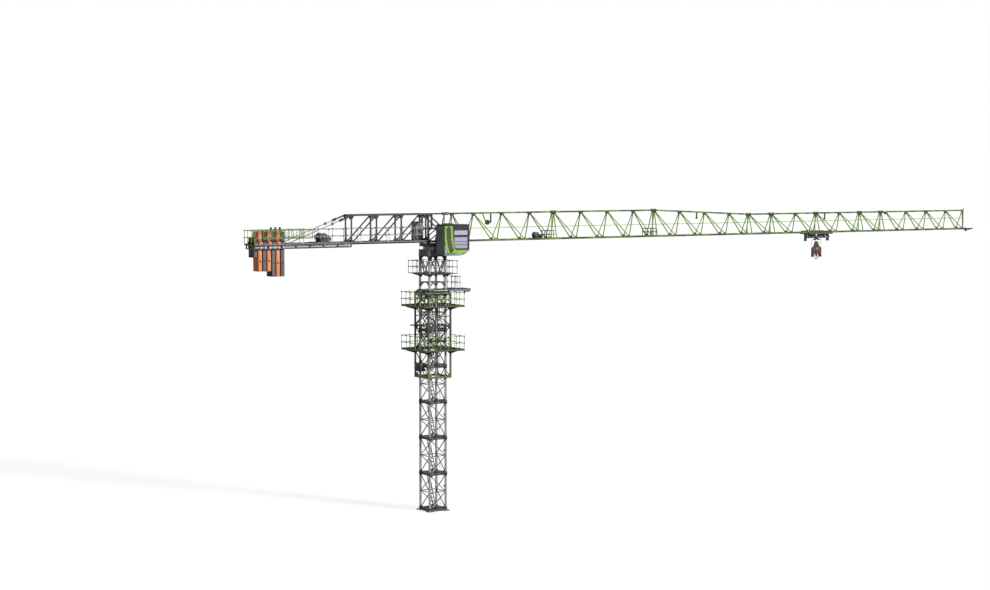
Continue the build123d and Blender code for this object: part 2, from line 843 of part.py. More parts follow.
def guide_pulley():
    """Rope guide: two straps down from the top chord with a pulley on the beam between them."""
    top = jib_top_level - top_chord_size / 2
    low = top - guide_hanger_drop
    half = guide_hanger_size / 2
    near_low = guide_pulley_x - guide_pulley_radius
    near = [(guide_hanger_near, top), (guide_hanger_near + guide_hanger_size, top),
            (near_low + guide_hanger_size, low), (near_low, low)]
    far = [(guide_hanger_far - guide_hanger_size, top), (guide_hanger_far, top),
           (guide_hanger_far, low), (guide_hanger_far - guide_hanger_size, low)]
    pieces = [plate(near, 0, guide_hanger_size), plate(far, 0, guide_hanger_size)]
    pieces.append(bar((near_low, 0, low), (guide_hanger_far, 0, low), guide_hanger_size))
    pieces.append(rod((guide_pulley_x, 0, low + half), guide_pulley_radius, guide_pulley_width, "Y"))
    return fused(pieces)


def rope_hanger(x):
    """Small strap under the top chord that keeps the rope up."""
    top = jib_level + jib_height_at(x + rope_hanger_size / 2) - top_chord_size / 2
    return block((x, 0, top - rope_hanger_drop / 2), (rope_hanger_size, rope_hanger_size, rope_hanger_drop))


def tip_post():
    """Post at the end of the top chord, on the cross bar between the bottom chords."""
    x = jib_root_x + sum(jib_section_lengths) - tip_chord_setback + tip_post_size / 2
    low = jib_level + jib_brace_size / 2
    high = jib_level + jib_tip_height + tip_post_above
    return block((x, 0, (low + high) / 2), (tip_post_size, tip_post_size, high - low))


def tip_pulley():
    """Return pulley of the trolley rope on a bracket under the jib's tip."""
    top = jib_level - bottom_chord_size / 2
    low = top - tip_bracket_thickness
    bracket = block((tip_pulley_x, 0, (top + low) / 2),
                    (tip_bracket_length, jib_width + bottom_chord_size, tip_bracket_thickness))
    wheel = rod((tip_pulley_x, 0, low - tip_pulley_radius / 2), tip_pulley_radius, guide_pulley_width, "Y")
    return fused([bracket, wheel])


def jib_platform(near, far):
    """Small floor on the jib's cross bars with a railing on each side."""
    low = jib_level + jib_brace_size / 2
    top = low + jib_plate_thickness
    floor_size = (far - near, jib_platform_width, jib_plate_thickness)
    pieces = [block(((near + far) / 2, 0, (low + top) / 2), floor_size)]
    inset = railing_bar_size / 2
    for y in (-jib_platform_railing_y, jib_platform_railing_y):
        pieces.append(railing([(near + inset, y), (far - inset, y)], top, jib_platform_railing_height))
    return fused(pieces)


def counter_end_x():
    """Tail end of the counter-jib truss."""
    return counter_root_x - counter_panel_count * counter_panel - counter_chord_size / 2


def tie_plane_y():
    """Distance of each tie bar's middle from the crane's middle plane."""
    return (counter_truss_width + counter_chord_size + tie_bar_thickness) / 2 + running_gap


def counter_truss():
    """Counter-jib truss: two upright planes with posts and diagonals, tied across."""
    half = counter_truss_width / 2
    nodes = [counter_root_x - k * counter_panel for k in range(counter_panel_count + 1)]
    front = nodes[0] + counter_chord_size / 2
    pieces = []
    for y in (-half, half):
        for z in (jib_level, jib_top_level):
            pieces.append(bar((front, y, z), (counter_end_x(), y, z), counter_chord_size))
        pin_y = math.copysign(tie_plane_y() + tie_bar_thickness / 2 + plate_thickness, y)
        pin_x = counter_end_x() + tie_pin_setback
        pieces.append(rod((pin_x, (y + pin_y) / 2, jib_top_level), tie_pin_radius, abs(pin_y - y), "Y"))
        for k, x in enumerate(nodes):
            pieces.append(bar((x, y, jib_level), (x, y, jib_top_level), counter_post_size))
            if k:
                pieces.append(bar((nodes[k - 1], y, jib_top_level), (x, y, jib_level), counter_brace_size))
    for k, x in enumerate(nodes):
        for z in (jib_level, jib_top_level):
            pieces.append(bar((x, -half, z), (x, half, z), counter_brace_size))
        if k:
            pieces.append(bar((nodes[k - 1], -half, jib_level), (x, half, jib_level), counter_cross_size))
    return fused(pieces)


def tie_bars():
    """Two ties from pins at the truss's top down to feet on the deck: a link, then a rod, coupled."""
    pin_x = counter_end_x() + tie_pin_setback
    foot_z = deck_level + tie_foot_height / 2
    ties = []
    for side in (-1, 1):
        y = side * tie_plane_y()
        start = Vector(pin_x, y, jib_top_level)
        run = Vector(tie_foot_x, y, foot_z) - start
        unit = run.normalized()
        first_coupling = start + run * tie_coupling_shares[0]
        pieces = [bar(start, first_coupling, tie_bar_thickness, tie_link_size)]
        pieces.append(bar(first_coupling, start + run, tie_bar_thickness, tie_rod_size))
        pieces.append(rod((pin_x, y, jib_top_level), tie_link_size / 2, tie_bar_thickness, "Y"))
        pieces.append(block((tie_foot_x, y, foot_z), (tie_foot_length, tie_bar_thickness, tie_foot_height)))
        for share, coupling_length in zip(tie_coupling_shares, tie_coupling_lengths):
            middle = start + run * share
            reach = unit * (coupling_length / 2)
            pieces.append(bar(middle - reach, middle + reach, tie_bar_thickness, tie_coupling_height))
        hole = rod((pin_x, y, jib_top_level), tie_pin_radius + running_gap, 2 * tie_bar_thickness, "Y")
        ties.append(fused(pieces) - hole)
    return ties


def counter_walkways():
    """Grating strips beside the deck and the truss, on outriggers from the truss chords."""
    inner = (deck_beam_width + deck_chord_size) / 2
    outer = walkway_width / 2
    chord_face = (counter_truss_width + counter_chord_size) / 2
    strip_z = deck_level - walkway_thickness / 2
    strips = []
    for side in (-1, 1):
        pieces = [block(((deck_end_x + counter_root_x) / 2, side * (inner + outer) / 2, strip_z),
                        (counter_root_x - deck_end_x, outer - inner, walkway_thickness))]
        for k in range(counter_panel_count + 1):
            x = counter_root_x - k * counter_panel
            x = x - walkway_thickness if k == 0 else x
            pieces.append(block((x, side * (chord_face + inner) / 2, strip_z),
                                (2 * walkway_thickness, inner - chord_face, walkway_thickness)))
        strips.append(fused(pieces))
    return strips


def counter_railings():
    """Railing along each walkway, and one across the tail, as flat panels."""
    y = walkway_width / 2 - railing_bar_size / 2
    front = counter_root_x - railing_bar_size
    tail = deck_end_x + railing_bar_size / 2
    panels = [railing([(front, side * y), (tail, side * y)], deck_level, railing_height) for side in (-1, 1)]
    across = y - 3 * railing_bar_size
    panels.append(railing([(tail, -across), (tail, across)], deck_level, railing_height))
    return panels


def sign_frames():
    """Two bare frames with ribs, one on each railing near the tail."""
    low = deck_level + sign_low
    frames = []
    for side in (-1, 1):
        y = side * (walkway_width + sign_bar) / 2
        back = sign_front_x - sign_length
        pieces = []
        for z in (low, low + sign_height):
            pieces.append(bar((back, y, z), (sign_front_x, y, z), sign_bar))
        for k in range(sign_rib_count + 1):
            x = back + sign_bar / 2 + k * (sign_length - sign_bar) / sign_rib_count
            pieces.append(bar((x, y, low), (x, y, low + sign_height), sign_bar))
        frames.append(fused(pieces))
    return frames


def cabinet():
    """Electrical cabinet on a shelf between the truss's lower chords."""
    shelf_width = counter_truss_width - counter_chord_size
    shelf_length = cabinet_length + 2 * cabinet_shelf_overhang
    shelf_z = jib_level + counter_brace_size / 2 + walkway_thickness / 2
    shelf = block((cabinet_x, 0, shelf_z), (shelf_length, shelf_width, walkway_thickness))
    low = shelf_z + walkway_thickness / 2
    case = block((cabinet_x, 0, low + cabinet_height / 2), (cabinet_length, cabinet_width, cabinet_height))
    return fused([shelf, case])


def counter_deck():
    """Deck frame behind the truss: two open side beams with cross beams."""
    front = counter_end_x()
    half = deck_beam_width / 2
    top_z = deck_level - deck_chord_size / 2
    low_z = deck_level - deck_beam_depth + deck_chord_size / 2
    bays = round((front - deck_end_x) / deck_post_pitch)
    first = front - deck_chord_size / 2
    last = deck_end_x + deck_chord_size / 2
    pieces = []
    for y in (-half, half):
        for z in (top_z, low_z):
            pieces.append(bar((front, y, z), (deck_end_x, y, z), deck_chord_size))
        for k in range(bays + 1):
            x = first + (last - first) * k / bays
            pieces.append(bar((x, y, low_z), (x, y, top_z), deck_chord_size))
    slab_front = slab_first_x + (slab_count + 1) * slab_pitch
    for x in (first, (front + slab_front) / 2, slab_front, last):
        for z in (top_z, low_z):
            pieces.append(bar((x, -half, z), (x, half, z), deck_chord_size))
    return fused(pieces)


def slab(x, top, bottom, lug_height):
    """One counterweight: a slab between the deck beams, with ears on top of them and a lifting lug."""
    body = block((x, 0, (top + bottom) / 2), (slab_thickness, slab_width, top - bottom))
    ears = block((x, 0, deck_level + slab_ear_height / 2), (slab_thickness, slab_ear_width, slab_ear_height))
    half = lifting_lug_length / 2
    lug = plate([(x - half, top), (x + half, top), (x + half / 2, top + lug_height),
                 (x - half / 2, top + lug_height)], 0, lifting_lug_thickness)
    return fused([body, ears, lug])


def counterweights():
    """Slabs from the tail towards the tower in two colours, the short one at the very tail grey."""
    orange, grey = [], []
    top = deck_level + slab_top_above_beam
    for k in range(slab_count):
        short = k < slab_count / 2
        bottom = deck_level - (short_slab_drop if short else long_slab_drop)
        lug_height = short_slab_lug if short else long_slab_lug
        piece = slab(slab_first_x + (k + 0.5) * slab_pitch, top, bottom, lug_height)
        (grey if k % 2 else orange).append(piece)
    tail_x = slab_first_x - 0.5 * slab_pitch
    tail_bottom = deck_level - tail_slab_drop
    grey.append(slab(tail_x, deck_level + tail_slab_top, tail_bottom, short_slab_lug))
    return orange, grey


def hoist_winch():
    """Winch: drum between two cheeks on a frame, with its motor beside them."""
    floor = deck_level
    bed = floor + winch_frame_height
    z = bed + winch_cheek_radius
    frame_width = deck_beam_width + deck_chord_size
    reach = (winch_frame_length - winch_frame_beam) / 2
    half = winch_drum_length / 2
    pieces = []
    for x in (winch_x - reach, winch_x + reach):
        pieces.append(block((x, 0, floor + winch_frame_height / 2),
                            (winch_frame_beam, frame_width, winch_frame_height)))
    for y in (-half, half):
        pieces.append(block((winch_x, y, floor + winch_frame_height / 2),
                            (winch_frame_length, winch_frame_beam, winch_frame_height)))
        pieces.append(rod((winch_x, y, z), winch_cheek_radius, winch_cheek_thickness, "Y"))
        pieces.append(block((winch_x, y, (bed + z) / 2), (winch_foot_length, winch_cheek_thickness, z - bed)))
    pieces.append(rod((winch_x, 0, z), winch_drum_radius, winch_drum_length, "Y"))
    motor_z = bed + hoist_motor_radius
    pieces.append(rod((winch_x + hoist_motor_x, 0, motor_z), hoist_motor_radius, hoist_motor_length, "Y"))
    pieces.append(block((winch_x + hoist_motor_x, 0, bed - winch_frame_height / 2),
                        (winch_frame_beam, winch_drum_length, winch_frame_height)))
    return fused(pieces)


def cab_outline(inset):
    """Side view of the cab: upright back and front, with a sloped foot under the windscreen."""
    low = jib_level - cab_drop + inset
    high = jib_level - cab_drop + cab_height - inset
    back = cab_back_x + inset
    front = cab_back_x + cab_length - inset
    foot = [(back, low), (front - cab_nose_length, low), (front, low + cab_nose_height)]
    return foot + [(front, high), (back, high)]


def window_outlines():
    """Lower and upper pane of the cab's side, as outlines in the XZ plane."""
    low = jib_level - cab_drop
    front = cab_back_x + cab_length - window_front_gap
    back = cab_back_x + side_window_back
    top = low + cab_height - window_top_gap
    lower = [(back + window_slant, low + window_low), (front, low + window_low),
             (front, low + window_rail_low), (back, low + window_rail_low),
             (back, low + window_low + window_slant)]
    upper = [(back, low + window_rail_high), (front, low + window_rail_high), (front, top), (back, top)]
    return [lower, upper]


def cab_side_panes(thickness):
    """The side windows of the near wall as solids of the thickness given, in the wall's middle."""
    y = cab_inner_y - cab_width + cab_wall / 2
    return [plate(outline, y, thickness) for outline in window_outlines()]


def cab_front_pane(thickness):
    """The windscreen as a solid of the thickness given, in the front wall's middle."""
    low = jib_level - cab_drop + window_low
    high = jib_level - cab_drop + cab_height - window_top_gap
    width = cab_width - 2 * window_front_gap
    x = cab_back_x + cab_length - cab_wall / 2
    return block((x, cab_inner_y - cab_width / 2, (low + high) / 2), (thickness, width, high - low))


def cab_body():
    """Cab shell, hollow, with windows cut in its front and its outer side."""
    middle = cab_inner_y - cab_width / 2
    shell = plate(cab_outline(0), middle, cab_width)
    shell -= plate(cab_outline(cab_wall), middle, cab_width - 2 * cab_wall)
    for opening in cab_side_panes(2 * cab_wall) + [cab_front_pane(2 * cab_wall)]:
        shell -= opening
    return shell


def cab_windows():
    """Panes that fill the cab's windows."""
    return cab_side_panes(pane_thickness) + [cab_front_pane(pane_thickness)]


def trolley_under():
    """Highest level that the trolley may fill under the jib's chords."""
    return jib_level - bottom_chord_size / 2 - trolley_side_gap


def track_top():
    """Top face of the strips that the trolley wheels run on."""
    return jib_level - bottom_chord_size / 2 + track_thickness


def trolley_frame():
    """Trolley frame: side plates outside the tracks, cross beams, end hoops and low side rails."""
    track_edge = (jib_width + bottom_chord_size) / 2 + track_width
    plate_y = track_edge + trolley_side_gap + trolley_plate_thickness / 2
    under = trolley_under()
    beam_z = under - trolley_frame_size / 2
    plate_top = track_top() + running_gap + trolley_wheel_radius + trolley_plate_above_wheel
    plate_low = under - trolley_frame_size
    reach = trolley_wheel_base / 2
    pieces = []
    for side in (-1, 1):
        pieces.append(block((trolley_x, side * plate_y, (plate_top + plate_low) / 2),
                            (trolley_length, trolley_plate_thickness, plate_top - plate_low)))
    for x in (-reach, -trolley_bridge_x, trolley_bridge_x, reach):
        end = (trolley_x + x, plate_y, beam_z)
        pieces.append(bar((trolley_x + x, -plate_y, beam_z), end, trolley_frame_size))
    half = jib_width / 2
    low = under - trolley_post_drop
    rail_z = under - trolley_low_rail_drop
    for y in (-half, half):
        for x in (-reach, reach):
            pieces.append(bar((trolley_x + x, y, beam_z), (trolley_x + x, y, low), trolley_hoop_size))
        for x in (-trolley_bridge_x, trolley_bridge_x):
            pieces.append(bar((trolley_x + x, y, beam_z), (trolley_x + x, y, rail_z), trolley_hoop_size))
        pieces.append(bar((trolley_x - reach, y, rail_z), (trolley_x + reach, y, rail_z), trolley_hoop_size))
    for x in (-reach, reach):
        end = half + trolley_hoop_size / 2
        z = low + trolley_hoop_size / 2
        pieces.append(bar((trolley_x + x, -end, z), (trolley_x + x, end, z), trolley_hoop_size))
    cheek_y = (sheave_hub_width + plate_thickness) / 2
    cheek_low = under - trolley_sheave_drop - sheave_hub_radius
    for side in (-1, 1):
        pieces.append(block((trolley_x, side * cheek_y, (under + cheek_low) / 2),
                            (2 * trolley_bridge_x + trolley_frame_size, plate_thickness, under - cheek_low)))
    return fused(pieces)


def trolley_wheels():
    """Four wheels with stub axles, held by the side plates."""
    wheels = []
    chord_face = jib_width / 2 + bottom_chord_size / 2
    inner = chord_face + trolley_side_gap
    plate_face = chord_face + track_width + trolley_side_gap
    z = track_top() + running_gap + trolley_wheel_radius
    for side in (-1, 1):
        for x in (-trolley_wheel_base / 2, trolley_wheel_base / 2):
            wheel_y = side * (inner + trolley_wheel_width / 2)
            stub_y = side * (inner + trolley_wheel_width + plate_face) / 2
            stub_length = plate_face - inner - trolley_wheel_width
            wheel = rod((trolley_x + x, wheel_y, z), trolley_wheel_radius, trolley_wheel_width, "Y")
            stub = rod((trolley_x + x, stub_y, z), trolley_stub_radius, stub_length, "Y", hub_flats)
            wheels.append(fused([wheel, stub]))
    return wheels


def rope_offset():
    """Distance of a rope's middle from the bottom of the groove that it lies in."""
    flank = math.hypot(sheave_width / 2, sheave_groove)
    rope_corner = rope_radius / math.cos(math.pi / hub_flats)
    return (rope_corner + running_gap) * flank / (sheave_width / 2)


def sheave(center, rim_radius):
    """Rope wheel turning about Y: two flanks that open outwards from the groove, on a hub."""
    groove = flats(rim_radius - sheave_groove, round_flats)
    rim = flats(rim_radius, round_flats)
    halves = [loft([groove, Pos(0, 0, z) * rim], ruled=True) for z in (-sheave_width / 2, sheave_width / 2)]
    hub = rod((0, 0, 0), min(sheave_hub_radius, rim_radius / 2), sheave_hub_width, "Z", hub_flats)
    return Pos(*center) * Rot(90, 0, 0) * fused(halves + [hub])


def fall_reach():
    """Distance of a rope fall from the middle of the sheave that it leaves."""
    return sheave_radius - sheave_groove + rope_offset()


def trolley_sheave_z():
    """Level of the trolley's sheaves."""
    return trolley_under() - trolley_sheave_drop


def trolley_sheaves():
    """Two sheaves in line along the jib."""
    z = trolley_sheave_z()
    return [sheave((trolley_x + side * sheave_spacing / 2, 0, z), sheave_radius) for side in (-1, 1)]


def block_top():
    """Top of the hook block when it is fully raised."""
    return trolley_under() - block_top_drop


def lobe_top():
    """Level where the housing's shoulders reach the block's full width."""
    return block_top() - block_housing_height - block_shoulder_height


def block_sheave_z():
    """Level of the block's two main sheaves."""
    return lobe_top() - block_sheave_drop


def crosshead_low():
    """Underside of the crosshead that carries the hook."""
    return block_sheave_z() - sheave_radius - crosshead_gap - crosshead_height


def block_cheek_outline():
    """Cheek of the hook block: narrow housing, shoulders, and two legs beside the hook."""
    housing = block_housing_width / 2
    lobe = block_lobe_width / 2
    leg = lobe - block_leg_width
    top = block_top()
    foot = lobe_top() - block_lobe_height
    half = [(housing, top), (housing, top - block_housing_height), (lobe, lobe_top()), (lobe, foot),
            (leg, foot), (leg, foot + block_leg_height), (crosshead_width / 2, crosshead_low())]
    return [(trolley_x + x, z) for x, z in half] + [(trolley_x - x, z) for x, z in reversed(half)]


def hook_block():
    """Hook block: two cheeks round three sheaves, crosshead with the hook's bore, and weights."""
    crosshead_z = crosshead_low() + crosshead_height / 2
    pieces = [block((trolley_x, 0, crosshead_z), (crosshead_width, crosshead_depth, crosshead_height))]
    cheek_y = (sheave_hub_width + plate_thickness) / 2
    weight_y = sheave_hub_width / 2 + plate_thickness + block_weight_thickness / 2
    weight_z = lobe_top() - block_shoulder_height / 2 - block_weight_height / 2
    foot = lobe_top() - block_lobe_height
    leg_x = (block_lobe_width - block_leg_width) / 2
    for side in (-1, 1):
        pieces.append(plate(block_cheek_outline(), side * cheek_y, plate_thickness))
        pieces.append(block((trolley_x, side * weight_y, weight_z),
                            (block_weight_width, block_weight_thickness, block_weight_height)))
        pieces.append(block((trolley_x + side * leg_x, 0, foot + block_leg_height / 2),
                            (block_leg_width, block_leg_depth, block_leg_height)))
    bore_length = hook_shank_depth + crosshead_gap
    bore_z = crosshead_low() + bore_length / 2
    bore = drum((trolley_x, 0, bore_z), hook_shank_radius + hook_shank_gap, bore_length, "Z")
    return fused(pieces) - bore


def block_sheaves():
    """Two main sheaves, and between and above them a small one that turns the rope back down."""
    top_radius = sheave_spacing / 2 - fall_reach() - rope_offset() + sheave_groove
    z = block_sheave_z()
    wheels = [sheave((trolley_x + side * sheave_spacing / 2, 0, z), sheave_radius) for side in (-1, 1)]
    wheels.append(sheave((trolley_x, 0, block_top() - block_top_sheave_drop), top_radius))
    return wheels


def hook():
    """Forged hook: shank in the crosshead and an open bowl below it."""
    low = crosshead_low()
    length = hook_shank_depth + hook_neck
    shank = drum((trolley_x, 0, low + hook_shank_depth - length / 2), hook_shank_radius, length, "Z")
    bowl_z = low - hook_neck - hook_bowl_radius + hook_eye_rise
    bowl = rod((trolley_x, 0, bowl_z), hook_bowl_radius, hook_width, "Y")
    bowl -= rod((trolley_x, 0, bowl_z + hook_eye_rise), hook_eye_radius, 2 * hook_width, "Y")
    mouth = block((trolley_x - hook_bowl_radius, 0, bowl_z + hook_eye_rise + hook_mouth_height / 2),
                  (2 * hook_bowl_radius, 2 * hook_width, hook_mouth_height))
    return fused([shank, bowl - mouth])


def rope_falls():
    """Two rope falls, from the outer sides of the trolley's sheaves to those of the block's."""
    high, low = trolley_sheave_z(), block_sheave_z()
    reach = sheave_spacing / 2 + fall_reach()
    return [rod((trolley_x + side * reach, 0, (high + low) / 2), rope_radius, high - low, "Z", hub_flats)
            for side in (-1, 1)]


os.makedirs("parts", exist_ok=True)

save(base_frame(), "base_frame")
section_bottoms = [mast_bottom + i * mast_section_height for i in range(mast_section_count)]
for number, bottom in enumerate(section_bottoms, 1):
    save(mast_section(bottom), f"mast_section_{number}")
save([mast_ladder(bottom) for bottom in section_bottoms], "mast_ladders")
save(climbing_cage(), "climbing_cage")
save(guide_rollers(), "guide_rollers")
save([cage_deck(level) for level in (lower_deck_level, upper_deck_level)], "cage_decks")
cage_rail_width = cage_platform_width - 2 * railing_inset
cage_panels = square_railing(cage_rail_width, lower_deck_level, railing_height)
cage_panels += square_railing(cage_rail_width, upper_deck_level, railing_height)
save(cage_panels, "cage_railings")
save(climbing_cylinder(), "climbing_cylinder")
save(power_pack(), "power_pack")
save(feed_beams(), "feed_beams")
save(feed_platform(), "feed_platform")
save(slewing_support(), "slewing_support")
save(support_platform(), "support_deck")
support_rail_width = support_platform_width - 2 * railing_inset
save(square_railing(support_rail_width, support_deck_level, support_railing_height), "support_railing")
save(ring(ring_bottom), "slewing_ring_fixed")
save(ring(ring_bottom + ring_half_height + slew_gap), "slewing_ring_turning")
save(turntable(), "turntable")
save(tower_head(), "tower_head")
for index in range(len(jib_section_lengths)):
    save(jib_section(index), f"jib_section_{index + 1}")
save(trolley_winch(), "trolley_winch")
save([guide_pulley(), tip_post(), tip_pulley()] + [rope_hanger(x) for x in rope_hanger_xs], "rope_guides")
save([jib_platform(near, far) for near, far in jib_platforms_between], "jib_platforms")
save(counter_truss(), "counter_jib_truss")
save(counter_deck(), "counter_jib_deck")
save(tie_bars(), "tie_bars")
save(counter_walkways(), "counter_jib_walkways")
save(counter_railings(), "counter_jib_railing")
save(sign_frames(), "sign_frames")
save(cabinet(), "electrical_cabinet")
orange_slabs, grey_slabs = counterweights()
save(orange_slabs, "counterweights_orange")
save(grey_slabs, "counterweights_grey")
save(hoist_winch(), "hoist_winch")
save(cab_body(), "cab_body")
save(cab_windows(), "cab_windows")
save(trolley_frame(), "trolley_frame")
save(trolley_wheels(), "trolley_wheels")
save(trolley_sheaves(), "trolley_sheaves")
save(hook_block(), "hook_block")
save(block_sheaves(), "block_sheaves")
save(hook(), "hook")
save(rope_falls(), "rope_falls")
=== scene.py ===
import bmesh
import bpy
import math
from mathutils import Matrix, Vector


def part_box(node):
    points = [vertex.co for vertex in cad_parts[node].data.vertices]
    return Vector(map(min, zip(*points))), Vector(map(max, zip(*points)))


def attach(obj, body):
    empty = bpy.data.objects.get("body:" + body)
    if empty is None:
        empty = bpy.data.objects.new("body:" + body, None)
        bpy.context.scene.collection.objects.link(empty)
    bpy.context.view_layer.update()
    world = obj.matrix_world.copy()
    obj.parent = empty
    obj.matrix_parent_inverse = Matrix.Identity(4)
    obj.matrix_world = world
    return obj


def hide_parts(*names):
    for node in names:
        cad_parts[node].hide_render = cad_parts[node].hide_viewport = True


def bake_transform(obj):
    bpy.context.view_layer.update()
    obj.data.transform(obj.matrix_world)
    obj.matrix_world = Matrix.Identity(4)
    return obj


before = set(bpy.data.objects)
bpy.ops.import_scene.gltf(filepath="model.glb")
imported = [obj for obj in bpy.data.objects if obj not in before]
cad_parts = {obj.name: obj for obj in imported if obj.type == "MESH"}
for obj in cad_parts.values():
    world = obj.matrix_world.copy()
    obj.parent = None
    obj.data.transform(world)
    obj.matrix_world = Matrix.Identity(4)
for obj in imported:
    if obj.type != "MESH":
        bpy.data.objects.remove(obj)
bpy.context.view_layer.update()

# The view. The camera stands far off, behind the crane and to its right, a little above the jib. It
# looks past the mast towards the jib's tip through a long lens.
def linked(name, data):
    """Puts a camera, lamp or mesh into the scene as an object."""
    item = bpy.data.objects.new(name, data)
    bpy.context.collection.objects.link(item)
    return item


look = Vector((0.5305, 0.8452, -0.06425))
lens = bpy.data.cameras.new("camera")
lens.lens = 78.32
lens.sensor_width = 36
lens.clip_end = 1000
camera = linked("camera", lens)
camera.location = (-42.368, -72.052, 13.803)
camera.rotation_euler = look.to_track_quat("-Z", "Y").to_euler()
bpy.context.scene.camera = camera
bpy.context.scene.view_settings.view_transform = "Standard"


# Daylight as in a pale studio: one broad lamp high on the right in front, and a white room that fills
# the shade. The camera, glossy paint and glass see the room as plain white.
def add_node(tree, kind, links=(), **settings):
    """Adds one node. Settings name its options or, with a capital, its sockets; links join sockets."""
    item = tree.nodes.new(kind)
    for name, value in settings.items():
        if name[0].isupper():
            item.inputs[name.replace("_", " ")].default_value = value
        else:
            setattr(item, name, value)
    for socket, source in links:
        tree.links.new(source, item.inputs[socket])
    return item


def calculated(tree, operation, *values):
    """Maths on numbers and other nodes' values."""
    item = add_node(tree, "ShaderNodeMath", operation=operation)
    for socket, value in zip(item.inputs, values):
        if isinstance(value, (int, float)):
            socket.default_value = value
        else:
            tree.links.new(value, socket)
    return item.outputs[0]


world = bpy.data.worlds.new("pale_room")
bpy.context.scene.world = world
world.use_nodes = True
tree = world.node_tree
tree.nodes.clear()
path = add_node(tree, "ShaderNodeLightPath").outputs
seen = calculated(tree, "MAXIMUM", path["Is Camera Ray"], path["Is Glossy Ray"])
seen = calculated(tree, "MAXIMUM", seen, path["Is Transmission Ray"])
fill = add_node(tree, "ShaderNodeBackground", Color=(0.95, 0.97, 1.0, 1), Strength=0.3)
white = add_node(tree, "ShaderNodeBackground", Color=(1, 1, 1, 1), Strength=1.0)
mixed = add_node(tree, "ShaderNodeMixShader", [(0, seen), (1, fill.outputs[0]), (2, white.outputs[0])])
add_node(tree, "ShaderNodeOutputWorld", [("Surface", mixed.outputs[0])])
lamp = bpy.data.lights.new("broad_lamp", "SUN")
lamp.energy = 2.7
lamp.angle = math.radians(12)
lamp.color = (1.0, 0.985, 0.96)
toward_lamp = Vector((0.4, -0.8, 0.36))
linked("broad_lamp", lamp).rotation_euler = toward_lamp.to_track_quat("Z", "Y").to_euler()


# The floor: a pale matt studio floor that runs out of sight and keeps the crane's shadow. The camera
# sees it glow a little, so that it runs into the white room.
def new_material(name):
    """Empty node material, with its tree and the object's own coordinates."""
    material = bpy.data.materials.new(name)
    material.use_nodes = True
    tree = material.node_tree
    tree.nodes.clear()
    return material, tree, add_node(tree, "ShaderNodeTexCoord").outputs["Object"]


floor_reach = 400
floor_paint, tree, _ = new_material("pale_floor_paint")
path = add_node(tree, "ShaderNodeLightPath").outputs
matt = add_node(tree, "ShaderNodeBsdfDiffuse", Color=(0.55, 0.55, 0.55, 1))
glow = add_node(tree, "ShaderNodeEmission", [("Strength", path["Is Camera Ray"])],
                Color=(0.69, 0.69, 0.69, 1))
both = add_node(tree, "ShaderNodeAddShader", [(0, matt.outputs[0]), (1, glow.outputs[0])])
add_node(tree, "ShaderNodeOutputMaterial", [("Surface", both.outputs[0])])
mesh = bpy.data.meshes.new("floor")
shape = bmesh.new()
bmesh.ops.create_grid(shape, x_segments=1, y_segments=1, size=floor_reach)
shape.to_mesh(mesh)
shape.free()
mesh.materials.append(floor_paint)
linked("floor", mesh)


# Base frame: welded box beams with a foot plate under each leg, held down by four anchor bolts.
# Mid grey two-coat enamel, sprayed on blasted steel; the bolts and washers are bare zinc.
def linear(hex_colour):
    """sRGB hex colour such as 8FC63A as linear values."""
    channels = [int(hex_colour[i:i + 2], 16) / 255 for i in (0, 2, 4)]
    return tuple(c / 12.92 if c <= 0.04045 else ((c + 0.055) / 1.055) ** 2.4 for c in channels) + (1,)


def blended(tree, factor, below, above):
    """Colour between two, each a hex colour or another node's colour."""
    item = add_node(tree, "ShaderNodeMix", [("Factor", factor)], data_type="RGBA")
    for socket, colour in ((6, below), (7, above)):
        if isinstance(colour, str):
            item.inputs[socket].default_value = linear(colour)
        else:
            tree.links.new(colour, item.inputs[socket])
    return item.outputs[2]


def noise(tree, place, scale, detail=4):
    """Noise between nought and one."""
    item = add_node(tree, "ShaderNodeTexNoise", [("Vector", place)], Scale=scale, Detail=detail)
    return item.outputs["Fac"]


def stretched(tree, place, scale):
    """Coordinates scaled along each axis."""
    return add_node(tree, "ShaderNodeMapping", [("Vector", place)], Scale=scale).outputs[0]


def ramped(tree, value, low=0, high=1, least=0, most=1):
    """Goes evenly from least to most while a value goes from low to high."""
    return add_node(tree, "ShaderNodeMapRange", [("Value", value)], From_Min=low, From_Max=high,
                    To_Min=least, To_Max=most).outputs[0]


def add_coat(tree, colour, roughness, relief=None, **settings):
    """Ends a material. Roughness is a number or a node's value; relief is a height, strength, depth."""
    links = [("Base Color", colour)]
    if isinstance(roughness, float):
        settings["Roughness"] = roughness
    else:
        links.append(("Roughness", roughness))
    if relief:
        height, strength, depth = relief
        bump = add_node(tree, "ShaderNodeBump", [("Height", height)], Strength=strength, Distance=depth)
        links.append(("Normal", bump.outputs[0]))
    shader = add_node(tree, "ShaderNodeBsdfPrincipled", links, **settings)
    add_node(tree, "ShaderNodeOutputMaterial", [("Surface", shader.outputs[0])])


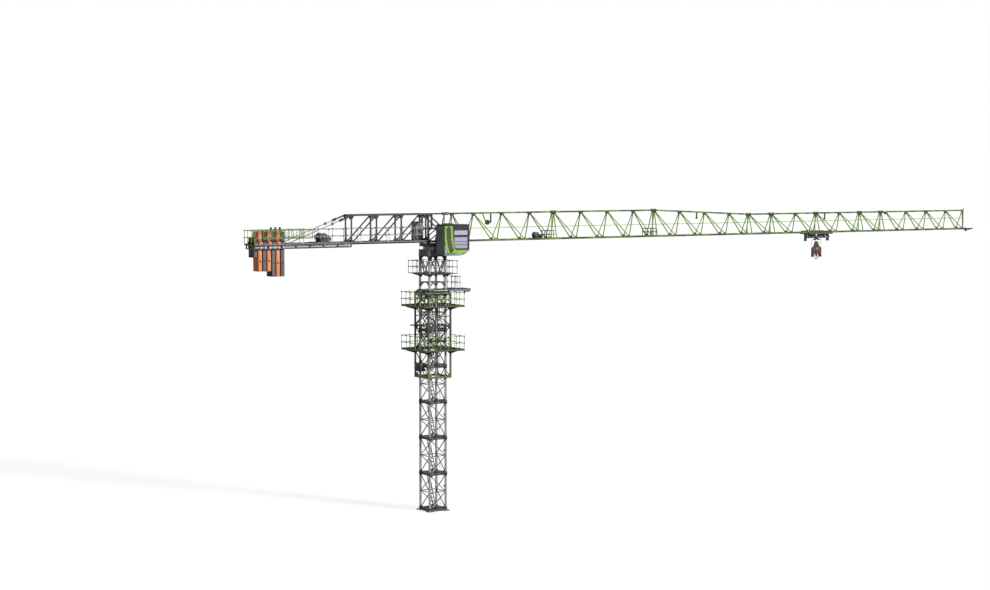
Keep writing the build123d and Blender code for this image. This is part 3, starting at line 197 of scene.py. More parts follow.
def enamel(name, paint, shaded, worn, gloss=0.42, streak=0.3, mask=None, masked=None):
    """Two-coat machine enamel on steel: its colour drifts over a metre, rain leaves upright streaks,
    and small chips show the primer. Orange peel from the spray gun breaks up its gloss. A mask function
    gives where a second colour stands."""
    material, tree, place = new_material(name)
    body = blended(tree, ramped(tree, noise(tree, place, 1.3), 0.35, 0.65), paint, shaded)
    if mask:
        body = blended(tree, mask(tree, place), body, masked)
    rain = noise(tree, stretched(tree, place, (22, 22, 2.2)), 1.0, 5)
    dirty = blended(tree, ramped(tree, rain, 0.45, 0.75, most=streak), body, worn)
    chips = ramped(tree, noise(tree, place, 38, 6), 0.69, 0.72)
    dull = ramped(tree, rain, least=gloss - 0.08, most=gloss + 0.22)
    peel = noise(tree, place, 240, 2)
    add_coat(tree, blended(tree, chips, dirty, "5E5145"), dull, (peel, 0.12, 0.0012))
    return material


def finish_node(material, *names):
    """Gives carried-over nodes their real finish."""
    for name in names:
        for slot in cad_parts[name].material_slots:
            slot.material = material


def add_block(shape, center, size, bevel=0):
    """Adds a box about its centre, with its edges broken where a bevel is given."""
    place = Matrix.Translation(center) @ Matrix.Diagonal((*size, 1))
    verts = bmesh.ops.create_cube(shape, size=1, matrix=place)["verts"]
    if bevel:
        edges = list({edge for vert in verts for edge in vert.link_edges})
        bmesh.ops.bevel(shape, geom=edges, affect="EDGES", offset=bevel, segments=2, profile=0.5, material=-1)


def between(start, end):
    """Matrix and length of something upright, laid from one point to another."""
    start, end = Vector(start), Vector(end)
    along = end - start
    turn = along.to_track_quat("Z", "Y").to_matrix().to_4x4()
    return Matrix.Translation((start + end) / 2) @ turn, along.length


def add_rod(shape, start, end, radius, sides=8):
    """Adds a round bar between two points."""
    place, length = between(start, end)
    bmesh.ops.create_cone(shape, cap_ends=True, segments=sides, radius1=radius, radius2=radius,
                          depth=length, matrix=place)


def add_plate(shape, corners, thickness):
    """Adds a flat plate from the corners of its middle face."""
    face = shape.faces.new([shape.verts.new(corner) for corner in corners])
    face.normal_update()
    half = face.normal * (thickness / 2)
    bmesh.ops.translate(shape, verts=list(face.verts), vec=-half)
    grown = bmesh.ops.extrude_face_region(shape, geom=[face])["geom"]
    verts = [item for item in grown if isinstance(item, bmesh.types.BMVert)]
    bmesh.ops.translate(shape, verts=verts, vec=2 * half)


def add_copies(shape, unit, places):
    """Adds a copy of a small finished unit at each place, a point or a matrix, and frees the unit."""
    pattern = bpy.data.meshes.new("pattern")
    unit.to_mesh(pattern)
    unit.free()
    for place in places:
        count = len(shape.verts)
        shape.from_mesh(pattern)
        shape.verts.ensure_lookup_table()
        move = place if isinstance(place, Matrix) else Matrix.Translation(place)
        bmesh.ops.transform(shape, matrix=move, verts=shape.verts[count:])
    bpy.data.meshes.remove(pattern)


def new_object(name, shape, material):
    """Makes an object from a finished shape."""
    bmesh.ops.recalc_face_normals(shape, faces=shape.faces)
    mesh = bpy.data.meshes.new(name)
    shape.to_mesh(mesh)
    shape.free()
    mesh.materials.append(material)
    return linked(name, mesh)


def new_piece(name, shape, material, body, replaced=()):
    """Makes a piece from a finished shape. It rides on a body and may stand for CAD nodes."""
    piece = new_object(name, shape, material)
    piece.data.shade_smooth()
    piece.data.set_sharp_from_angle(angle=math.radians(35))
    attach(piece, body)
    if replaced:
        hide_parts(*replaced)


def add_bolt(shape, center, axis, radius, height):
    """Adds a bolt end: washer, hexagon nut and the thread's end, standing on a face."""
    center, axis = Vector(center), Vector(axis).normalized()
    for low, high, width, sides in ((0, 0.2, 1.7, 12), (0.2, 0.8, 1.45, 6), (0.8, 1, 0.8, 8)):
        add_rod(shape, center + axis * height * low, center + axis * height * high, radius * width, sides)


leg_signs = [(-1, -1), (1, -1), (1, 1), (-1, 1)]
leg_place = 0.36
leg_half = 0.034
foot_top = 0.02
base_top = 0.06
anchor_place = 0.445


def post_faces(place, half, level, way=-1):
    """Two faces of each of four posts, as a point and a direction: inward, or with way 1 outward."""
    for x, y in leg_signs:
        for out in (Vector((x, 0, 0)), Vector((0, y, 0))):
            yield Vector((x * place, y * place, level)) + out * way * half, out * way


def add_gussets(shape, place, half, level, reach, rise, thick):
    """Adds a triangular gusset on each inward face of four posts."""
    for root, inward in post_faces(place, half, level):
        add_plate(shape, [root, root + inward * reach, root + Vector((0, 0, rise))], thick)


base_grey = enamel("base_grey_enamel", "6E6F6E", "5A5B5B", "3F3E3C")
finish_node(base_grey, "base_frame")
bright_zinc = enamel("zinc_plated_steel", "A2A3A4", "8C8D8F", "5E5A55", gloss=0.3, streak=0.15)
bolts = bmesh.new()
for x, y in leg_signs:
    add_bolt(bolts, (x * anchor_place, y * anchor_place, foot_top), (0, 0, 1), 0.012, 0.045)
new_piece("anchor_bolts", bolts, bright_zinc, "tower")
gussets = bmesh.new()
add_gussets(gussets, leg_place, leg_half, base_top, 0.11, 0.1, 0.01)
new_piece("base_gussets", gussets, base_grey, "tower")


# Mast: six equal lattice sections. Welded square tube legs in mid grey enamel and the ends of each
# section in charcoal. The bracing angles are near-black, partly charcoal paint and partly painted shade of
# the mast's inside. Four bolts go through the sleeves of every leg at each joint.
section_height = 1.4
joint_levels = [base_top + section_height * k for k in range(7)]
joint_half = 0.085
brace_shade_share = 0.82


def coordinate(tree, place, axis):
    """One of the coordinates X, Y and Z."""
    return add_node(tree, "ShaderNodeSeparateXYZ", [("Vector", place)]).outputs[axis]


def joints_and_brace_shade(tree, place):
    """One near the section joints, and somewhat less on rails and braces, where it is partly painted shade;
    nought on the legs.
    """
    across = [calculated(tree, "ABSOLUTE", coordinate(tree, place, axis)) for axis in "XY"]
    inner = calculated(tree, "LESS_THAN", calculated(tree, "MINIMUM", *across), leg_place - leg_half - 0.004)
    level = calculated(tree, "SUBTRACT", coordinate(tree, place, "Z"), base_top)
    nearest = calculated(tree, "PINGPONG", level, section_height / 2)
    band = calculated(tree, "LESS_THAN", nearest, joint_half)
    return calculated(tree, "MAXIMUM", calculated(tree, "MULTIPLY", inner, brace_shade_share), band)


# Painted shade: the braces' near-black stands partly for the shade inside the mast
mast_enamel = enamel("mast_grey_enamel_brace_shade", "ACADAD", "9C9D9D", "6C6A66", mask=joints_and_brace_shade, masked="2C2C2E")
finish_node(mast_enamel, *[f"mast_section_{i}" for i in range(1, 7)])
charcoal = enamel("charcoal_enamel", "3C3C3E", "313133", "282725")
sleeve_half = 0.046
bolts = bmesh.new()
bolt = bmesh.new()
add_bolt(bolt, (0, 0, 0), (0, 0, 1), 0.009, 0.026)
bolt_places = []
for level in joint_levels[1:]:
    for rise in (-0.045, 0.045):
        for face, outward in post_faces(leg_place, sleeve_half, level + rise, 1):
            turn = outward.to_track_quat("Z", "Y").to_matrix().to_4x4()
            bolt_places.append(Matrix.Translation(face) @ turn)
add_copies(bolts, bolt, bolt_places)
new_piece("mast_joint_bolts", bolts, bright_zinc, "tower")
gussets = bmesh.new()
for bottom in joint_levels[:-1]:
    for level, rise in ((bottom + 0.054, 0.07), (bottom + section_height - 0.054, -0.07)):
        add_gussets(gussets, leg_place, leg_half, level, 0.08, rise, 0.008)
new_piece("mast_gussets", gussets, charcoal, "tower")
sleeves = bmesh.new()
sleeve_size = (2 * sleeve_half, 2 * sleeve_half, 0.13)
for level in joint_levels[1:]:
    for x, y in leg_signs:
        add_block(sleeves, (x * leg_place, y * leg_place, level), sleeve_size, 0.005)
joint_black = enamel("joint_black_enamel", "2A2A2C", "222224", "302E2A")
new_piece("mast_joint_sleeves", sleeves, joint_black, "tower")


# Ladders and rest platforms inside the mast: galvanised steel gone dull and dark. Each platform is
# chequer plate with a toe board; the rungs have rough treads, and a pale grab rail leans over the
# opening at the ladder's foot.
dull_zinc = enamel("dull_galvanised_steel", "4A4B4D", "3C3D3F", "2C2B2A", gloss=0.5)
finish_node(dull_zinc, "mast_ladders")
treads = bmesh.new()
rails = bmesh.new()
boards = bmesh.new()
ladder_foot_x, ladder_head_x = 0.06, -0.225
ladder_half, ladder_tube = 0.1, 0.018
rungs = 9
grab_x, grab_y, grab_rise = 0.22, -0.16, 0.36
for bottom in joint_levels[:-1]:
    floor_level = bottom + 0.066
    head_level = bottom + section_height - 0.03
    for y in (-ladder_half, ladder_half):
        add_rod(treads, (ladder_foot_x, y, floor_level), (ladder_head_x, y, head_level), ladder_tube, 6)
    for k in range(rungs):
        share = (k + 0.6) / rungs
        x = ladder_foot_x + share * (ladder_head_x - ladder_foot_x)
        level = floor_level + share * (head_level - floor_level)
        add_rod(treads, (x, -ladder_half, level), (x, ladder_half, level), ladder_tube, 6)
    for y in (-0.315, 0.315):
        add_block(boards, (0.149, y, floor_level + 0.025), (0.33, 0.004, 0.05))
    add_block(boards, (-0.02, 0, floor_level + 0.012), (0.006, 0.63, 0.024))
    grab_head = (grab_x, grab_y, floor_level + grab_rise)
    add_rod(rails, (-0.1, grab_y, floor_level), grab_head, 0.02)
    add_rod(rails, (grab_x, grab_y, floor_level), grab_head, 0.01)
new_piece("ladder_treads", treads, charcoal, "tower")
pale_rail = enamel("pale_rail_enamel", "D4D4D4", "C0C0C0", "8C8A86")
new_piece("ladder_grab_rails", rails, pale_rail, "tower")
new_piece("rest_platform_toe_boards", boards, dull_zinc, "tower")


# Climbing cage: square tube posts, rings and braces, dark olive enamel, a paler green towards its
# foot. Gussets at the rings, and an arm for the guide rope on one side.
def near_foot(tree, place):
    """One at the foot of the cage, nought above the lower platform."""
    return ramped(tree, coordinate(tree, place, "Z"), 6.3, 5.9)


cage_olive = enamel("cage_olive_enamel", "2F3622", "262B1E", "20211A", mask=near_foot, masked="5C6B36")
finish_node(cage_olive, "climbing_cage")
post_place = 0.5
post_half = 0.03
ring_levels = [5.29, 6.26, 7.22, 7.96, 8.51]
gussets = bmesh.new()
for level in ring_levels:
    add_gussets(gussets, post_place, post_half, level, 0.14, -0.12 if level > ring_levels[0] else 0.12, 0.01)
for y in (-post_place, post_place):
    add_block(gussets, (-0.62, y, 7.245), (0.2, 0.05, 0.05), 0.006)
new_piece("cage_gussets", gussets, cage_olive, "tower")
ties = bmesh.new()
tie_half = 0.019
post_face = post_place - post_half
for low, high in ((6.31, 7.22), (7.27, 7.96), (8.03, 8.5)):
    middle = (low + high) / 2
    for y in (-post_place, post_place):
        for x in (-post_face, post_face):
            add_rod(ties, (x, y, low), (0, y, middle), tie_half)
        add_rod(ties, (0, y, middle), (0, y, high), tie_half)
        add_rod(ties, (-post_face, y, middle), (post_face, y, middle), tie_half)
    for y in (-post_face, post_face):
        add_rod(ties, (-post_place, y, low), (-post_place, 0, middle), tie_half)
    add_rod(ties, (-post_place, 0, middle), (-post_place, 0, high), tie_half)
moss_green = enamel("moss_green_enamel", "4C6026", "3C4C20", "262E16")
new_piece("cage_tie_bars", ties, moss_green, "tower")


# Cage platforms: open grating in angle frames on triangular brackets welded to the cage's posts.
# Bearing bars stand on edge 45 mm apart, coarser than in real grating, so that they show.
def add_grating(shape, low, high, top, depth, pitch=0.045):
    """Adds a panel of grating between two corners: edge frame, bearing bars and cross rods."""
    (x0, y0), (x1, y1) = low, high
    wide, deep = x1 - x0, y1 - y0
    x_middle, y_middle, middle = (x0 + x1) / 2, (y0 + y1) / 2, top - depth / 2
    edge = 0.008
    for y in (y0 + edge / 2, y1 - edge / 2):
        add_block(shape, (x_middle, y, middle), (wide, edge, depth))
    for x in (x0 + edge / 2, x1 - edge / 2):
        add_block(shape, (x, y_middle, middle), (edge, deep, depth))
    bars = max(1, round(wide / pitch))
    for k in range(1, bars):
        add_block(shape, (x0 + wide * k / bars, y_middle, top - depth * 0.45), (0.004, deep, depth * 0.8))
    rods = max(1, round(deep / (2.5 * pitch)))
    for k in range(1, rods):
        add_block(shape, (x_middle, y0 + deep * k / rods, top - 0.004), (wide, 0.005, 0.006))


def add_ring_grating(shape, half, hole, top, depth):
    """Adds a square floor of four grating panels round a square hole."""
    for low, high in (((-half, -half), (-hole, half)), ((hole, -half), (half, half)),
                      ((-hole, -half), (hole, -hole)), ((-hole, hole), (hole, half))):
        add_grating(shape, low, high, top, depth)


def add_brackets(shape, place, half, level, reach, tip_depth, root_depth, thick):
    """Adds a triangular bracket on each outward face of four posts."""
    for root, outward in post_faces(place, half, level, 1):
        tip = root + outward * reach
        foot = root - Vector((0, 0, root_depth))
        add_plate(shape, [root, tip, tip - Vector((0, 0, tip_depth)), foot], thick)


deck_levels = [6.31, 8.01]
deck_half = 0.91
deck_hole = 0.53
deck_depth = 0.03
decks = bmesh.new()
for level in deck_levels:
    add_ring_grating(decks, deck_half, deck_hole, level, deck_depth)
    add_brackets(decks, post_place, post_half, level - deck_depth, 0.36, 0.024, 0.12, 0.022)
dark_olive = enamel("dark_olive_enamel", "2B3220", "23281C", "1E1F18")
new_piece("cage_platform_gratings", decks, dark_olive, "tower", ["cage_decks"])


# Cage railings: 36 mm tube at full size, lime enamel, in panels pinned to the platforms, with black
# knuckles where rails and posts cross, their black a painted shade there, and a toe board along the floor.
def add_railing(tubes, knuckles, start, end, floor, height, pitch, tube=0.0105):
    """Adds a run of posts with top and knee rail, and a knuckle at each crossing that carries painted shade.
    """
    start, end = Vector((*start, floor)), Vector((*end, floor))
    rise = Vector((0, 0, height - tube))
    bays = max(1, round((end - start).length / pitch))
    for k in range(bays + 1):
        foot = start.lerp(end, k / bays)
        add_rod(tubes, foot, foot + rise, tube)
        for share in (0.5, 1):
            center = foot + rise * share
            # Knuckle: a block that carries painted shade where rail and post cross
            add_block(knuckles, center, (0.046, 0.046, 0.048), 0.012)
    for share in (0.5, 1):
        add_rod(tubes, start + rise * share, end + rise * share, tube)


def add_square_railing(tubes, knuckles, half, floor, height, pitch):
    """Adds a railing round a square."""
    for side in (-half, half):
        for start, end in (((side, -half), (side, half)), ((-half, side), (half, side))):
            add_railing(tubes, knuckles, start, end, floor, height, pitch)


def add_four(shape, along, out, level, size, bevel=0):
    """Adds a block on each side of a square: its place along the side, and its distance out."""
    wide, deep, high = size
    for side in (-1, 1):
        add_block(shape, (along, side * out, level), (wide, deep, high), bevel)
        add_block(shape, (side * out, along, level), (deep, wide, high), bevel)


lime_bright = enamel("lime_railing_enamel", "9ACC40", "88BA32", "546E22")
machine_black = enamel("machine_black_enamel", "242426", "1C1C1E", "38342E", gloss=0.35)
rail_half = 0.89
tubes = bmesh.new()
knuckles = bmesh.new()
boards = bmesh.new()
for level in deck_levels:
    add_square_railing(tubes, knuckles, rail_half, level, 0.541, 0.36)
    add_four(boards, 0, rail_half + 0.011, level + 0.02, (2 * rail_half, 0.004, 0.045))
new_piece("cage_railing_tubes", tubes, lime_bright, "tower", ["cage_railings"])
# Black knuckles: painted shade where rails and posts cross
new_piece("cage_railing_knuckles_painted_shade", knuckles, machine_black, "tower")
new_piece("cage_toe_boards", boards, moss_green, "tower")


# Guide rollers: cast iron rollers on pins in forks at the cage rings. They stand a running gap off the
# mast's legs; the rollers are black and the forks dark olive.
def add_turned(shape, profile, center, axis="Y", steps=24):
    """Adds a turned part: a closed profile of (radius, place along the axis) spun about its centre."""
    turn = {"X": Vector((1, 0, 0)), "Y": Vector((0, 1, 0)), "Z": Vector((0, 0, 1))}[axis]
    out = turn.orthogonal().normalized()
    center = Vector(center)
    verts = [shape.verts.new(center + out * radius + turn * along) for radius, along in profile]
    edges = [shape.edges.new(pair) for pair in zip(verts, verts[1:] + verts[:1])]
    bmesh.ops.spin(shape, geom=verts + edges, cent=center, axis=turn, angle=math.tau, steps=steps,
                   use_merge=True)


finish_node(machine_black, "guide_rollers")
forks = bmesh.new()
roller_y = 0.4243
for level in (6.285, 7.985):
    for x in (-leg_place, leg_place):
        for side in (-1, 1):
            y = side * roller_y
            for gap in (-0.026, 0.026):
                add_block(forks, (x + gap, side * (roller_y + 0.02), level), (0.006, 0.07, 0.05), 0.002)
            add_rod(forks, (x - 0.034, y, level), (x + 0.034, y, level), 0.009, 12)
new_piece("roller_forks", forks, dark_olive, "tower")


# Hydraulic climbing gear: barrel in pale lavender enamel with turned end caps, a ground chrome rod,
# and the claw beam that steps from lug to lug up the mast, welded plate in black enamel.
def bare_metal(name, colour, roughness, streaks):
    """Machined or drawn steel: turning marks a hair wide along one axis stretch its highlights."""
    material, tree, place = new_material(name)
    turned = noise(tree, stretched(tree, place, streaks), 1.0)
    oily = ramped(tree, noise(tree, place, 6.0, 5), 0.4, 0.7, most=0.5)
    rough = ramped(tree, turned, least=roughness - 0.06, most=roughness + 0.12)
    add_coat(tree, blended(tree, oily, colour, "4A4844"), rough, (turned, 0.1, 0.0008), Metallic=1.0)
    return material


cylinder_x, cylinder_y = -0.1, -0.428
barrel_low, barrel_high = 6.9, 7.78
beam_level = 6.66
lavender = enamel("cylinder_lavender_enamel", "9C9CC0", "8A8AAE", "5A5A66", gloss=0.3)
chrome = bare_metal("hard_chromed_rod", "C8C8C8", 0.18, (6, 6, 900))
barrel = bmesh.new()
half = (barrel_high - barrel_low) / 2
profile = [(0.012, -half), (0.036, -half), (0.04, -half + 0.006), (0.04, -half + 0.06),
           (0.034, -half + 0.064), (0.034, half - 0.07), (0.04, half - 0.066), (0.04, half - 0.006),
           (0.036, half), (0.012, half)]
add_turned(barrel, profile, (cylinder_x, cylinder_y, barrel_low + half), "Z")
for level in (barrel_low + 0.1, barrel_high - 0.1):
    near, far = (cylinder_x + 0.02, cylinder_y, level), (cylinder_x + 0.052, cylinder_y, level)
    add_rod(barrel, near, far, 0.012, 12)
new_piece("cylinder_barrel", barrel, lavender, "tower", ["climbing_cylinder"])
rod = bmesh.new()
add_rod(rod, (cylinder_x, cylinder_y, beam_level), (cylinder_x, cylinder_y, barrel_low + 0.02), 0.024, 24)
new_piece("cylinder_rod", rod, chrome, "tower")
claws = bmesh.new()
add_block(claws, (0, cylinder_y, beam_level), (0.72, 0.05, 0.09), 0.006)
for x in (-0.301, 0.301):
    add_block(claws, (x, -0.394, 6.735), (0.05, 0.068, 0.06), 0.005)
    add_plate(claws, [(x - 0.05, -0.454, 6.62), (x + 0.05, -0.454, 6.62), (x, -0.454, 6.75)], 0.008)
add_block(claws, (cylinder_x, -0.4515, 7.87), (0.04, 0.047, 0.28), 0.005)
for level in (beam_level - 0.02, beam_level + 0.02):
    add_rod(claws, (cylinder_x - 0.04, cylinder_y, level), (cylinder_x + 0.04, cylinder_y, level), 0.04, 12)
new_piece("climbing_beam", claws, machine_black, "tower")


# Power pack: folded steel oil tank with ribs, filler cap and sight glass, and a pump motor on its lid.
# Satin black enamel, oily round the filler.
def add_motor(shape, center, radius, length, axis):
    """Adds an electric motor: end bell, cast cooling ribs, fan cowl and terminal box."""
    half = length / 2
    ribs = 9
    profile = [(0.002, -half), (radius * 0.62, -half), (radius * 0.88, -half * 0.86)]
    for k in range(ribs):
        start = -half * 0.8 + k * half * 1.3 / ribs
        profile += [(radius * 0.84, start), (radius, start + half * 0.03), (radius, start + half * 0.08),
                    (radius * 0.84, start + half * 0.11)]
    profile += [(radius * 0.84, half * 0.55), (radius * 0.97, half * 0.58), (radius * 0.97, half * 0.92),
                (radius * 0.8, half), (0.002, half)]
    add_turned(shape, profile, center, axis, 20)


tank_x, tank_y, tank_level = -0.654, -0.16, 5.66
rib = (0.012, 0.012, 0.27)
tank = bmesh.new()
add_block(tank, (tank_x, tank_y, tank_level), (0.2, 0.315, 0.32), 0.008)
for k in range(5):
    add_block(tank, (tank_x - 0.1, tank_y + (k - 2) * 0.062, tank_level), rib, 0.003)
for side in (-1, 1):
    for k in range(4):
        add_block(tank, (tank_x + (k - 1.5) * 0.045, tank_y + side * 0.1575, tank_level), rib, 0.003)
add_block(tank, (tank_x, tank_y, 5.825), (0.21, 0.325, 0.01), 0.003)
add_rod(tank, (-0.7, -0.26, 5.83), (-0.7, -0.26, 5.86), 0.02, 16)
add_motor(tank, (tank_x, tank_y, 5.885), 0.055, 0.11, "Z")
for level in (5.58, 5.74):
    add_block(tank, (-0.542, 0, level), (0.024, 1.06, 0.024), 0.003)
new_piece("power_pack_tank", tank, machine_black, "tower", ["power_pack"])


# Feed gear for new mast sections: two rolled beams on the cage's top ring, pale grey enamel, with a
# carriage on rollers, and a small grating platform with tube railings on top. Pale wear strips line
# the collar below them.
def over_beams(tree, place):
    """One on the beams' top faces, nought below them."""
    return calculated(tree, "GREATER_THAN", coordinate(tree, place, "Z"), 8.632)


feed_grey = enamel("feed_beam_enamel", "8A8A98", "767684", "5A5858", mask=over_beams, masked="2C2C2E")
finish_node(feed_grey, "feed_beams")
strips = bmesh.new()
for side in (-1, 1):
    add_block(strips, (0.04, side * 0.533, 8.622), (0.62, 0.006, 0.036), 0.001)
add_four(strips, 0, 0.396, 8.62, (0.78, 0.006, 0.05), 0.001)
pale_strip = enamel("pale_wear_strip", "C4C4C6", "B0B0B2", "7A7876")
new_piece("collar_wear_strips", strips, pale_strip, "tower")
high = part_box("feed_beams")[1]
beam_tip, beam_top = high.x, high.z
beam_y = 0.28
rollers = bmesh.new()
for y in (-beam_y, beam_y):
    for x in (beam_tip - 0.13, beam_tip - 0.05):
        add_rod(rollers, (x, y - 0.045, beam_top - 0.1), (x, y + 0.045, beam_top - 0.1), 0.018, 16)
    for x in (0.5, beam_tip - 0.02):
        add_block(rollers, (x, y, beam_top - 0.045), (0.02, 0.07, 0.1), 0.004)
add_block(rollers, (beam_tip - 0.09, 0, beam_top - 0.11), (0.12, 0.62, 0.02), 0.004)
new_piece("feed_carriage_rollers", rollers, machine_black, "tower")
low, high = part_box("feed_platform")
floor_level = low.z + 0.02
panel = bmesh.new()
add_grating(panel, (low.x, low.y), (high.x, high.y), floor_level, 0.02)
new_piece("feed_platform_grating", panel, dull_zinc, "tower", ["feed_platform"])
tubes = bmesh.new()
knuckles = bmesh.new()
near, far, side = low.x + 0.02, high.x - 0.02, high.y - 0.02
corners = [(near, -side), (far, -side), (far, side), (near, side)]
for start, end in zip(corners, corners[1:]):
    add_railing(tubes, knuckles, start, end, floor_level, high.z - floor_level - 0.009, 0.22)
pale_tube = enamel("pale_railing_enamel", "B4B5B6", "A0A1A2", "6A6864")
new_piece("feed_railing_tubes", tubes, pale_tube, "tower")
# Black knuckles: painted shade where rails and posts cross
new_piece("feed_railing_knuckles_painted_shade", knuckles, machine_black, "tower")


# Slewing support: four tube legs in mid grey enamel with near-black bracing, partly painted shade, and
# the welded box that carries the ring, stiffened by gussets; a grating platform with pale tube railings
# goes round it.
support_knee = 9.24
box_low, box_top = 9.935, 10.2
box_middle = (box_low + box_top) / 2
finish_node(mast_enamel, "slewing_support")
ribs = bmesh.new()
add_gussets(ribs, leg_place, leg_half, box_low, 0.14, -0.16, 0.012)
add_gussets(ribs, leg_place, leg_half, support_knee - 0.027, 0.1, -0.12, 0.01)
for k in range(6):
    add_four(ribs, -0.3 + k * 0.12, 0.404, box_middle, (0.012, 0.014, box_top - box_low - 0.01), 0.002)
for level in (box_low + 0.006, box_top - 0.006):
    add_four(ribs, 0, 0.406, level, (0.82, 0.016, 0.012), 0.002)
new_piece("support_gussets", ribs, charcoal, "tower")
low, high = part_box("support_deck")
floor_panels = bmesh.new()
add_ring_grating(floor_panels, high.x, leg_place + leg_half, high.z, high.z - low.z)
add_brackets(floor_panels, leg_place, leg_half, low.z, 0.3, 0.012, 0.1, 0.02)
new_piece("support_deck_grating", floor_panels, charcoal, "tower", ["support_deck"])
low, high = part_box("support_railing")
tubes = bmesh.new()
knuckles = bmesh.new()
add_square_railing(tubes, knuckles, high.x - 0.009, low.z, high.z - low.z - 0.009, 0.34)
new_piece("support_railing_tubes", tubes, pale_tube, "tower", ["support_railing"])
# Black knuckles: painted shade where rails and posts cross
new_piece("support_railing_knuckles_painted_shade", knuckles, machine_black, "tower")


# Slewing ring: two forged and turned steel rings, oiled, with a circle of bolts through each flange
# and a small gap between them. Lower and upper ring are mirror images.
ring_steel = bare_metal("turned_ring_steel", "77787A", 0.35, (30, 30, 700))
ring_middle = 10.26025
ring_profile = [(0.29, 0.001), (0.362, 0.001), (0.37, 0.004), (0.37, 0.046), (0.395, 0.048), (0.395, 0.06),
                (0.29, 0.06)]
for name, body, way, node in (("lower_ring", "tower", -1, "slewing_ring_fixed"),
                              ("upper_ring", "slewing_upper", 1, "slewing_ring_turning")):
    ring = bmesh.new()
    add_turned(ring, [(radius, way * rise) for radius, rise in ring_profile], (0, 0, ring_middle), "Z", 96)
    new_piece(name, ring, ring_steel, body, [node])
bolt_circle = 0.382
bolt_count = 36
for body, way in (("tower", -1), ("slewing_upper", 1)):
    bolts = bmesh.new()
    for k in range(bolt_count):
        turn = math.tau * (k + 0.5) / bolt_count
        spot = (bolt_circle * math.cos(turn), bolt_circle * math.sin(turn), ring_middle + way * 0.048)
        add_bolt(bolts, spot, (0, 0, -way), 0.006, 0.02)
    new_piece(f"ring_bolts_{body}", bolts, bright_zinc, body)


# Turntable: welded plate box in charcoal enamel with ribs between its flanges, and two upright
# slewing gear motors, black, that stand on it and turn the ring
finish_node(charcoal, "turntable")
table_low, table_top = 10.3205, 10.4405
ribs = bmesh.new()
for k in range(7):
    add_four(ribs, -0.3 + k * 0.1, 0.383, (table_low + table_top) / 2, (0.01, 0.012, 0.1), 0.002)
for level in (table_low + 0.006, table_top - 0.006):
    add_four(ribs, 0, 0.386, level, (0.78, 0.014, 0.012), 0.002)
new_piece("turntable_ribs", ribs, charcoal, "slewing_upper")
motors = bmesh.new()
for side in (-1, 1):
    place = Vector((0, side * 0.326, table_top))
    add_turned(motors, [(0.01, 0), (0.075, 0), (0.075, 0.012), (0.056, 0.02), (0.056, 0.1), (0.066, 0.104),
                        (0.066, 0.118), (0.01, 0.118)], place, "Z", 20)
    add_motor(motors, place + Vector((0, 0, 0.224)), 0.056, 0.21, "Z")
    add_block(motors, place + Vector((-0.06, 0, 0.2)), (0.04, 0.05, 0.06), 0.006)
new_piece("slewing_motors", motors, machine_black, "slewing_upper")


# Tower head: welded square tube in charcoal enamel, gusseted at its corners, with pins at the jib's
# root; the two front links down from the top chord to the jib's foot are pale grey
def add_beam(shape, start, end, size):
    """Adds a square tube between two points."""
    place, length = between(start, end)
    radius = size / math.sqrt(2)
    bmesh.ops.create_cone(shape, cap_ends=True, segments=4, radius1=radius, radius2=radius, depth=length,
                          matrix=place @ Matrix.Rotation(math.pi / 4, 4, "Z"))


def add_pin(shape, x, y, z, half, radius, sides=12):
    """Adds a round pin along Y, half its length to each side of its middle."""
    add_rod(shape, (x, y - half, z), (x, y + half, z), radius, sides)


jib_level = 10.5105
jib_top_level = 11.5805
chord_y = 0.2125
head_half = 0.2375
head_middle = (table_top + jib_top_level) / 2
head_back, head_front, head_rear = -0.34, 0.34, -0.417
root_x = 0.6
head = bmesh.new()
for y in (-head_half, head_half):
    for near, low, far, high, size in ((head_back, table_top, head_back, jib_top_level + 0.024, 0.06),
                                       (head_front, table_top, head_front, head_middle, 0.06),
                                       (head_rear, jib_level, head_front, jib_level, 0.06),
                                       (head_rear, jib_top_level, head_front, jib_top_level, 0.048),
                                       (head_back, head_middle, head_front, head_middle, 0.048),
                                       (head_back, jib_level, head_front, head_middle, 0.036),
                                       (head_front, head_middle, head_back, jib_top_level, 0.044)):
        add_beam(head, (near, y, low), (far, y, high), size)
    add_beam(head, (head_front, y, jib_top_level), (0.534, 0, jib_top_level), 0.048)
    foot_y = math.copysign(chord_y, y)
    add_beam(head, (head_front, foot_y, jib_level), (root_x, foot_y, jib_level), 0.06)
    for x, inward, level, rise in ((head_back, 1, jib_level, 1), (head_back, 1, head_middle, 1),
                                   (head_back, 1, head_middle, -1), (head_back, 1, jib_top_level, -1),
                                   (head_front, -1, jib_level, 1), (head_front, -1, head_middle, -1)):
        add_plate(head, [(x, y, level), (x + inward * 0.15, y, level), (x, y, level + rise * 0.15)], 0.012)
for x, levels in ((head_back, (jib_level, head_middle, jib_top_level)),
                  (head_front, (jib_level, head_middle)), (-0.05, (head_middle, jib_top_level))):
    for level in levels:
        add_beam(head, (x, -head_half, level), (x, head_half, level), 0.048)
add_beam(head, (-0.05, 0, head_middle), (-0.05, 0, jib_top_level), 0.06)
add_beam(head, (0.468, 0, jib_top_level), (root_x, 0, jib_top_level), 0.066)
add_block(head, (0.56, 0, jib_top_level), (0.26, 0.09, 0.11), 0.012)
for x in (head_front, root_x):
    for y in (-chord_y, chord_y):
        add_pin(head, x, y, jib_level, 0.05, 0.02, 16)
new_piece("head_frame", head, charcoal, "slewing_upper", ["tower_head"])
links = bmesh.new()
for y in (-chord_y, chord_y):
    add_beam(links, (0.4, y, jib_level), (0.534, 0, jib_top_level), 0.044)
for x in (0.51, 0.62):
    add_pin(links, x, 0, jib_top_level, 0.06, 0.02, 16)
pale_link = enamel("pale_link_enamel", "C8C8D6", "B4B4C2", "7A7A80")
new_piece("pale_head_links", links, pale_link, "slewing_upper")
